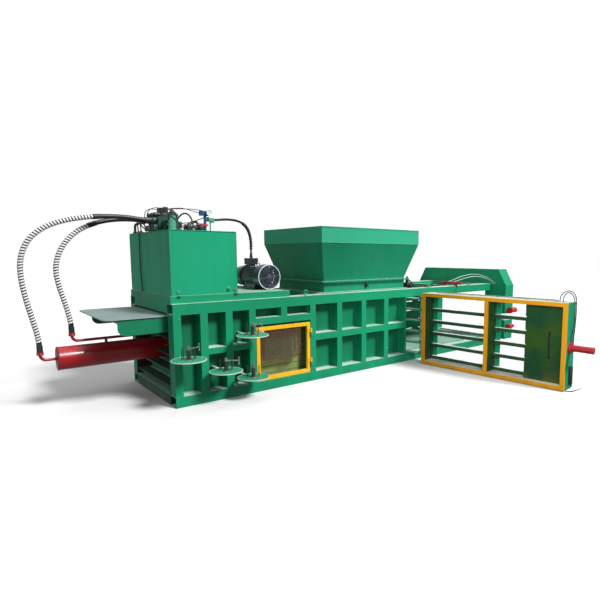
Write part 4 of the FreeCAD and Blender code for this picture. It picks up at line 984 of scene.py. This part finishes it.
dial = Vector((-2.718, -0.3922, 2.374))
needle = Vector((-0.6, 0, 0.8))
makePiece("gaugeBezel", "gauge_blue", whiteRim, rings=[(dial, north, 0.0365, 0.005, 40, 10)])
makePiece("gaugeNeedle", *castFinish,
          rods=[(dial + out * 0.023, dial + out * 0.029, 0.0012, 6, None, 0)
                for out in around(12, -30, east, up)[:9]]
          + [(dial - needle * 0.008, dial + needle * 0.024, 0.0016, 8, 0.0006, 0),
             (dial + north * 0.001, dial - north * 0.003, 0.004, 12, None, 0)],
          bolts=[((x, -0.362, z), -north, 0.006) for x in (-2.815, -2.735) for z in (2.346, 2.385)])
makePiece("conduitTee", "filter_green", filterGreen,
          rods=[((-2.664, -0.34, 2.25), (-2.664, -0.34, 2.262), 0.03, 24),
                ((-2.69, -0.34, lidTop), (-2.69, -0.34, 2.268), 0.009, 12)],
          bars=[((-2.722, -0.372, 2.262), (-2.642, -0.308, 2.312), 0.006)])

tankLines = {  # small hoses and cables over the tank: diameter, then the route
    "pilotHoseA": (0.018, [
        (-3.022, -0.08, 2.2), (-2.941, -0.08, 2.2), (-2.89, -0.082, 2.205),
        (-2.835, -0.105, 2.25), (-2.8, -0.15, 2.262), (-2.797, -0.196, 2.215),
        (-2.8, -0.2, 2.146)]),
    "pilotHoseB": (0.018, [
        (-3.022, 0.02, 2.2), (-2.941, 0.02, 2.2), (-2.88, 0.02, 2.212), (-2.81, 0.0, 2.275),
        (-2.75, -0.045, 2.285), (-2.738, -0.078, 2.225), (-2.74, -0.08, 2.146)]),
    "pilotHoseC": (0.018, [
        (-3.022, 0.12, 2.2), (-2.941, 0.12, 2.2), (-2.895, 0.122, 2.205),
        (-2.845, 0.118, 2.245), (-2.822, 0.104, 2.215), (-2.82, 0.1, 2.146)]),
    "drainHoseA": (0.02, [
        (-3.2, -0.177, 2.21), (-3.2, -0.269, 2.21), (-3.202, -0.3, 2.222), (-3.245, -0.38, 2.3),
        (-3.262, -0.47, 2.31), (-3.215, -0.548, 2.25), (-3.164, -0.562, 2.195),
        (-3.16, -0.56, 2.146)]),
    "drainHoseB": (0.02, [
        (-3.14, -0.177, 2.21), (-3.14, -0.269, 2.21), (-3.136, -0.305, 2.23),
        (-3.1, -0.4, 2.33), (-3.06, -0.5, 2.345), (-3.026, -0.59, 2.265), (-3.02, -0.6, 2.146)]),
    "rearLoopA": (0.016, [
        (-3.316, 0.02, 2.17), (-3.379, 0.02, 2.17), (-3.4, 0.022, 2.18), (-3.425, 0.08, 2.26),
        (-3.42, 0.2, 2.315), (-3.385, 0.32, 2.3), (-3.35, 0.392, 2.23), (-3.345, 0.4, 2.146)]),
    "rearLoopB": (0.016, [
        (-3.316, 0.15, 2.17), (-3.379, 0.15, 2.17), (-3.398, 0.155, 2.185),
        (-3.415, 0.24, 2.27), (-3.4, 0.38, 2.31), (-3.362, 0.49, 2.255), (-3.345, 0.52, 2.146)]),
    "coilCableA": (0.009, [
        (-3.143, -0.0655, 2.418), (-3.12, -0.0655, 2.422), (-3.06, -0.11, 2.43),
        (-2.985, -0.18, 2.431), (-2.91, -0.25, 2.4), (-2.85, -0.31, 2.375),
        (-2.828, -0.34, 2.365)]),
    "coilCableB": (0.009, [
        (-3.143, 0.05, 2.418), (-3.118, 0.05, 2.424), (-3.04, 0.005, 2.431),
        (-2.94, -0.08, 2.431), (-2.86, -0.18, 2.424), (-2.805, -0.28, 2.41),
        (-2.79, -0.33, 2.398)]),
    "coilCableC": (0.009, [
        (-3.143, 0.1655, 2.418), (-3.115, 0.1655, 2.426), (-3.03, 0.19, 2.431),
        (-2.94, 0.25, 2.43), (-2.905, 0.3, 2.375), (-2.9, 0.3, 2.24), (-2.9, 0.29, 2.14)]),
    "coilCableD": (0.009, [
        (-3.197, -0.0655, 2.418), (-3.22, -0.0655, 2.424), (-3.29, -0.02, 2.431),
        (-3.34, 0.06, 2.405), (-3.352, 0.11, 2.33), (-3.328, 0.125, 2.24),
        (-3.314, 0.125, 2.207)]),
    "coilCableE": (0.009, [
        (-3.197, 0.1655, 2.418), (-3.222, 0.1655, 2.426), (-3.285, 0.215, 2.431),
        (-3.315, 0.3, 2.4), (-3.318, 0.33, 2.28), (-3.312, 0.335, 2.14)]),
    "motorFeed": (0.012, [
        (-2.86, 0.3, 2.14), (-2.858, 0.298, 2.2), (-2.835, 0.27, 2.27), (-2.775, 0.15, 2.265),
        (-2.735, -0.06, 2.3), (-2.705, -0.23, 2.325), (-2.69, -0.31, 2.316)]),
    "rearCable": (0.014, [
        (-3.34, 0.33, 2.127), (-3.372, 0.331, 2.134), (-3.392, 0.332, 2.132),
        (-3.3935, 0.332, 2.08), (-3.3935, 0.33, 1.9), (-3.3935, 0.342, 1.7),
        (-3.3935, 0.322, 1.52), (-3.3935, 0.3, 1.4), (-3.3925, 0.29, 1.343)]),
}
for name, (diameter, points) in tankLines.items():
    layCord(name, points, diameter, stiffness="limp" if diameter < 0.013 else "stiff")
print("power unit dressed")

# Hopper: fold and corner beads, rolled lip, flange bolts, latch, lifting eyes

hopperLow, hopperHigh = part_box("hopper_funnel")
fold = {"z": 2.01, "x": (hopperLow[0], hopperHigh[0]), "y": (hopperLow[1], hopperHigh[1]),
        "footX": (-1.05, 0.68), "footY": (-0.64, 0.64), "foot": 1.432}
lipStart, lipEnd = fold["x"][0] + 0.001, fold["x"][1] - 0.001
bm = bmesh.new()
for y in fold["y"]:
    addBead(bm, (fold["x"][0], y, fold["z"]), (fold["x"][1], y, fold["z"]), 0.005)
    addBar(bm, (lipStart, y - 0.0055 if y > 0 else y, hopperHigh[2] - 0.026),
           (lipEnd, y if y > 0 else y + 0.0055, hopperHigh[2] - 0.0005), 0.002)
for x in fold["x"]:
    addBead(bm, (x, fold["y"][0], fold["z"]), (x, fold["y"][1], fold["z"]), 0.005)
for x, footX in zip(fold["x"], fold["footX"]):
    for y, footY in zip(fold["y"], fold["footY"]):
        addBead(bm, (x, y, fold["z"]), (x, y, hopperHigh[2] - 0.004), 0.0042)
        addBead(bm, (x, y, fold["z"]), (footX, footY, fold["foot"]), 0.0048)
for y in fold["footY"]:
    addBead(bm, (fold["footX"][0], y, 1.434), (fold["footX"][1], y, 1.434), 0.005)
settle("hopperBeads", bm, "press_green", hopperGreen)

flangeBolts = {"z": (1.432, 1.262), "size": 0.011, "side": 0.672, "ends": (-1.08, 0.71),
               "x": [-1.03 + 0.2113 * step for step in range(9)],
               "y": [-0.52 + 0.26 * step for step in range(5)]}
makePiece("hopperBolts", *boltFinish,
          bolts=[((x, side * flangeBolts["side"], z), up, flangeBolts["size"])
                 for z in flangeBolts["z"] for side in (-1, 1) for x in flangeBolts["x"]]
          + [((x, y, z), up, flangeBolts["size"])
             for z in flangeBolts["z"] for x in flangeBolts["ends"] for y in flangeBolts["y"]])
latch = Vector((-0.203, -0.64, 1.33))
latchRods = (((0, -0.006, 0.006), (0, -0.052, 0.006), 0.01, 16),
             ((0.004, -0.04, 0.004), (0.03, -0.04, -0.03), 0.0065, 12),
             ((-0.014, -0.03, 0.01), (-0.014, -0.03, 0.052), 0.007, 12))
makePiece("neckLatch", *castFinish,
          bars=[(latch + Vector((-0.028, -0.007, -0.034)), latch + Vector((0.028, 0, 0.034)))],
          rods=[(latch + Vector(start), latch + Vector(end), radius, sides)
                for start, end, radius, sides in latchRods],
          bolts=[(latch + Vector((0, -0.052, 0.006)), -north, 0.013)])
eyes = [Vector((x, y, 1.25)) for y in (-0.785, 0.785) for x in (-1.485, 1.2)]
makePiece("liftingEyes", "press_green", rearGreen,
          rings=[(eye + up * 0.047, (0.2, 1, 0), 0.027, 0.0085, 28, 10) for eye in eyes],
          rods=[(eye, eye + up * 0.018, 0.026, 20, 0.018) for eye in eyes])
print("hopper dressed")

# Press body: weld beads in the rib corners, bolts, barrel collars

welds = {
    "ribs": (-3.353, -3.025, -2.697, -2.369, -1.4, -0.907, -0.414, 0.079),
    "half": 0.047,
    "window": (-2.33, -1.44),
    "wall": 0.6852,
    "rib": (0.69, 0.836),
    "upright": (0.14, 1.11),
    "rails": (0.1335, 1.1145),
    "midRails": ((-3.025, -2.369, 0.6), (-3.025, -2.369, 0.68), (-1.4, 0.535, 0.59),
                 (-1.4, 0.535, 0.69)),
}
for side, name in ((-1, "near"), (1, "far")):
    bm = bmesh.new()
    wall = side * welds["wall"]
    inner, outer = [side * y for y in welds["rib"]]
    low, high = welds["upright"]
    for x in [rib + edge for rib in welds["ribs"] for edge in (-welds["half"], welds["half"])]:
        if welds["window"][0] < x < welds["window"][1]:
            continue
        addBead(bm, (x, wall, low), (x, wall, high), 0.007)
        for z in welds["rails"]:
            addBead(bm, (x, outer, z), (x, inner, z), 0.0055)
    for x0, x1, z in welds["midRails"]:
        addBead(bm, (x0, wall, z), (x1, wall, z), 0.006)
    addBead(bm, (0.534, wall, low), (0.534, wall, high), 0.0065)
    addBead(bm, (-3.395, wall, 0.1345), (0.55, wall, 0.1345), 0.0065)
    addBead(bm, (-3.398, side * 0.64, 1.251), (-1.75, side * 0.64, 1.251), 0.004)
    settle(name + "Welds", bm, "press_green", pressGreen)

bodyBolts = {
    "end": (0.22, 0.36, 0.5, 0.78, 0.92, 1.06),
    "ribs": {-1.4: (0.18, 1.07), 0.079: (0.3, 0.9, 1.07), -2.369: (0.18,), -3.353: (0.18, 1.07)},
    "barrel": Vector((-3.2455, 0, 0.62)),
    "lockUnits": ((Vector((3.207, -1.215, 0.722)), 0.056), (Vector((3.187, -1.203, 0.395)), 0.044)),
    "skidX": (-3.33, -2.6, -1.82),
    "skidY": (-0.742, 0.782),
}
bolts = [((0.5556, side * 0.8, z), east, 0.011) for side in (-1, 1) for z in bodyBolts["end"]]
bolts += [((x + 0.02, side * 0.8405, z), north * side, 0.009)
          for side in (-1, 1) for x, heights in bodyBolts["ribs"].items() for z in heights]
bolts += [(bodyBolts["barrel"] + out * 0.151, -east, 0.01) for out in around(12, 15, north, up)]
bolts += [(centre + out * ring, east, 0.006)
          for centre, ring in bodyBolts["lockUnits"] for out in around(6, 30, north, up)]
bolts += [((x, y, 1.335), up, 0.012) for x in bodyBolts["skidX"] for y in bodyBolts["skidY"]]
makePiece("bodyBolts", *boltFinish, bolts=bolts)
makePiece("barrelCollars", "cylinder_red", crimson,
          rods=[((-4.46, 0, 0.62), (-4.44, 0, 0.62), 0.134, 40, 0.134, 0.004, 2)],
          rings=[((x, 0, 0.62), east, 0.137, 0.006, 48, 8) for x in (-4.452, -3.262)]
          + [((x, 0, z + rise), up, 0.034, 0.0045, 32, 8)
             for x, z in ((-4.295, 0.8705), (-4.622, 0.6825)) for rise in (0.008, 0.026)])
print("body dressed")

# Roof: door hose valve by the hopper's foot, small roof cylinder, hoses to the portal

makePiece("roofValve", *castFinish,
          bars=[((0.86, -0.565, 1.15), (0.985, -0.445, 1.33), 0.006)],
          rods=[((0.92, -0.505, 1.33), (0.92, -0.505, 1.42), 0.03, 20),
                ((0.92, -0.505, 1.42), (0.92, -0.505, 1.455), 0.02, 16, 0.012),
                ((0.9, -0.565, 1.28), (0.9, -0.62, 1.28), 0.022, 6),
                ((0.955, -0.565, 1.28), (0.955, -0.61, 1.28), 0.018, 6)])
ramLine = Vector((1.96, 0, 1.3))
ramRods = {  # the roof cylinder and its rod: start, end, radius, sides
    "cylinder": ((-0.48, -0.9, 0.024, 24), (-0.89, -0.912, 0.029, 24), (-0.47, -0.5, 0.029, 24)),
    "rod": ((-0.905, -1.08, 0.012, 16), (-1.06, -1.1, 0.019, 6)),
}


def onRamLine(rows):
    return [(ramLine + north * start, ramLine + north * end, radius, sides)
            for start, end, radius, sides in rows]


makePiece("roofCylinder", "cylinder_red", crimson, rods=onRamLine(ramRods["cylinder"]),
          bars=[((1.925, y - 0.02, 1.25), (1.995, y + 0.02, 1.282), 0.003) for y in (-0.52, -0.8)])
makePiece("roofCylinderRod", "ground_steel", groundSteel, rods=onRamLine(ramRods["rod"]))
roofLines = {  # diameter, paint, then the route
    "roofHoseA": (0.014, hoseBlack, [
        (0.922, -0.42, 1.172), (0.93, -0.415, 1.225), (1.05, -0.4, 1.262), (1.3, -0.42, 1.258),
        (1.6, -0.455, 1.262), (1.85, -0.43, 1.29), (1.925, -0.45, 1.284), (1.935, -0.485, 1.277)]),
    "roofHoseB": (0.014, palePaint, [
        (1.985, -0.49, 1.277), (2.06, -0.48, 1.3), (2.3, -0.43, 1.32), (2.65, -0.4, 1.395),
        (2.9, -0.47, 1.44), (3.04, -0.62, 1.425), (3.085, -0.78, 1.36), (3.1, -0.88, 1.29),
        (3.118, -0.905, 1.245)]),
    "roofHoseC": (0.014, palePaint, [
        (1.985, -0.56, 1.277), (2.05, -0.545, 1.292), (2.3, -0.5, 1.3), (2.64, -0.46, 1.35),
        (2.88, -0.52, 1.395), (3.03, -0.66, 1.38), (3.085, -0.8, 1.32), (3.1, -0.86, 1.265),
        (3.118, -0.875, 1.225)]),
    "roofHoseD": (0.022, hoseBlack, [
        (0.9, -0.626, 1.27), (0.9, -0.655, 1.278), (0.86, -0.7, 1.32), (0.78, -0.69, 1.395),
        (0.72, -0.64, 1.43), (0.715, -0.6, 1.395), (0.722, -0.59, 1.262)]),
    "roofHoseE": (0.018, hoseBlack, [
        (0.955, -0.626, 1.268), (0.96, -0.65, 1.274), (1.01, -0.7, 1.275), (1.13, -0.72, 1.264),
        (1.3, -0.7, 1.262), (1.48, -0.64, 1.262), (1.7, -0.59, 1.266), (1.88, -0.56, 1.28),
        (1.935, -0.56, 1.277)]),
}
for name, (diameter, paint, points) in roofLines.items():
    layCord(name, points, diameter, stiffness="medium", paint=paint)
print("roof dressed")

# Bale door: pipe on the top edge, flange bolts, black sheet behind the lock slot as painted shade,
# end jack, floor rod, second hose

topPipe = {"radius": 0.0085, "clips": (0.4, 0.85, 1.3, 1.75, 2.05), "route": (
    (0.22, 0.0, 1.2), (0.22, 0.0, 1.214), (0.3, 0.02, 1.216), (1.15, 0.03, 1.216),
    (2.1, 0.02, 1.216), (2.2, 0.0, 1.214), (2.2, 0.0, 1.2))}
bm = bmesh.new()
addTube(bm, [doorPlace(*place) for place in topPipe["route"]], topPipe["radius"], 12)
for s in topPipe["clips"]:
    addRod(bm, doorPlace(s, 0, 1.2), doorPlace(s, 0, 1.212), 0.02, 12)
settle("doorTopPipe", bm, *boltFinish, "bale_door")
endWay = (doorPlace(1, 0, 0) - doorPlace(0, 0, 0)).normalized()
sideWay = (doorPlace(0, 1, 0) - doorPlace(0, 0, 0)).normalized()
makePiece("doorLockBolts", "cylinder_red", crimson, "bale_door",
          bolts=[(doorPlace(doorEnd + 0.0255, 0, 0.585) + out * 0.06, endWay, 0.008)
                 for out in around(8, 22.5, sideWay, up)],
          rings=[(doorPlace(doorEnd + 0.3, 0, 0.585), endWay, 0.042, 0.006, 32, 8)])
# painted shade: a black sheet behind the lock slot, so the slot reads dark
slotCover = {"s": 2.1, "z": 0.585, "wide": 0.115, "tall": 0.235, "out": 0.052, "plate": -0.032,
             "sheet": 0.004}
doorWay = Matrix.Rotation(doorTurn, 4, "Z")
panels = ((slotCover["s"], slotCover["out"], slotCover["wide"], slotCover["sheet"] / 2),
          (slotCover["s"] - slotCover["wide"], (slotCover["out"] + slotCover["plate"]) / 2,
           slotCover["sheet"] / 2, (slotCover["out"] - slotCover["plate"]) / 2))
bm = bmesh.new()
for s, out, wide, thick in panels:
    middle, half = doorPlace(s, out, slotCover["z"]), Vector((wide, thick, slotCover["tall"]))
    addBar(bm, middle - half, middle + half, 0.001, 1, doorWay)
settle("lockSlotCover", bm, "black_cast", fanBlack, "bale_door")
jack = (doorEnd + 0.026, 0.02)
jackRods = ((0.085, 0.33, 0.023, 24, None, 0.003, 2), (0.06, 0.09, 0.012, 16),
            (0.14, 0.158, 0.0235, 24), (0.28, 0.298, 0.0235, 24))
floorRod = ((-0.1, -0.13, 0.013), (0.01, -0.11, 0.013), (0.06, -0.09, 0.011),
            (0.09, -0.02, 0.014), (0.14, 0.1, 0.03))
bm = bmesh.new()
for low, high, *more in jackRods:
    addRod(bm, doorPlace(*jack, low), doorPlace(*jack, high), *more)
addTube(bm, [doorPlace(doorEnd + s, out, z) for s, out, z in floorRod], 0.006, 10)
settle("doorEndJack", bm, *castFinish, "bale_door")
layCord("doorOuterHose", [doorPlace(doorEnd + s, out, z) for s, out, z in (
    (-0.175, 0.045, 1.203), (-0.175, 0.046, 1.25), (-0.15, 0.05, 1.31), (-0.08, 0.056, 1.352),
    (-0.015, 0.06, 1.34), (0.026, 0.062, 1.285), (0.04, 0.062, 1.19), (0.041, 0.06, 1.06),
    (0.038, 0.056, 0.93), (0.034, 0.05, 0.81), (0.028, 0.042, 0.72), (0.02, 0.034, 0.665),
    (0.016, 0.03, 0.648))], 0.012, "bale_door")
print("bale door dressed")

# Floor

bm = bmesh.new()
bmesh.ops.create_grid(bm, x_segments=2, y_segments=2, size=room["half"])
mesh = bpy.data.meshes.new("floor")
bm.to_mesh(mesh)
bm.free()
floorPaint, here, shader = startPaint("paleFloor")
finishPaint(floorPaint, shader, {
    "Base Color": room["floor"], "Roughness": 0.9, "Specular IOR Level": 0.1})
mesh.materials.append(floorPaint)
floor = bpy.data.objects.new("floor", mesh)
floor.location = (0, 0, -0.0005)
bpy.context.collection.objects.link(floor)
floor.visible_diffuse = False  # the floor throws no light back on the machine
floor.visible_glossy = False
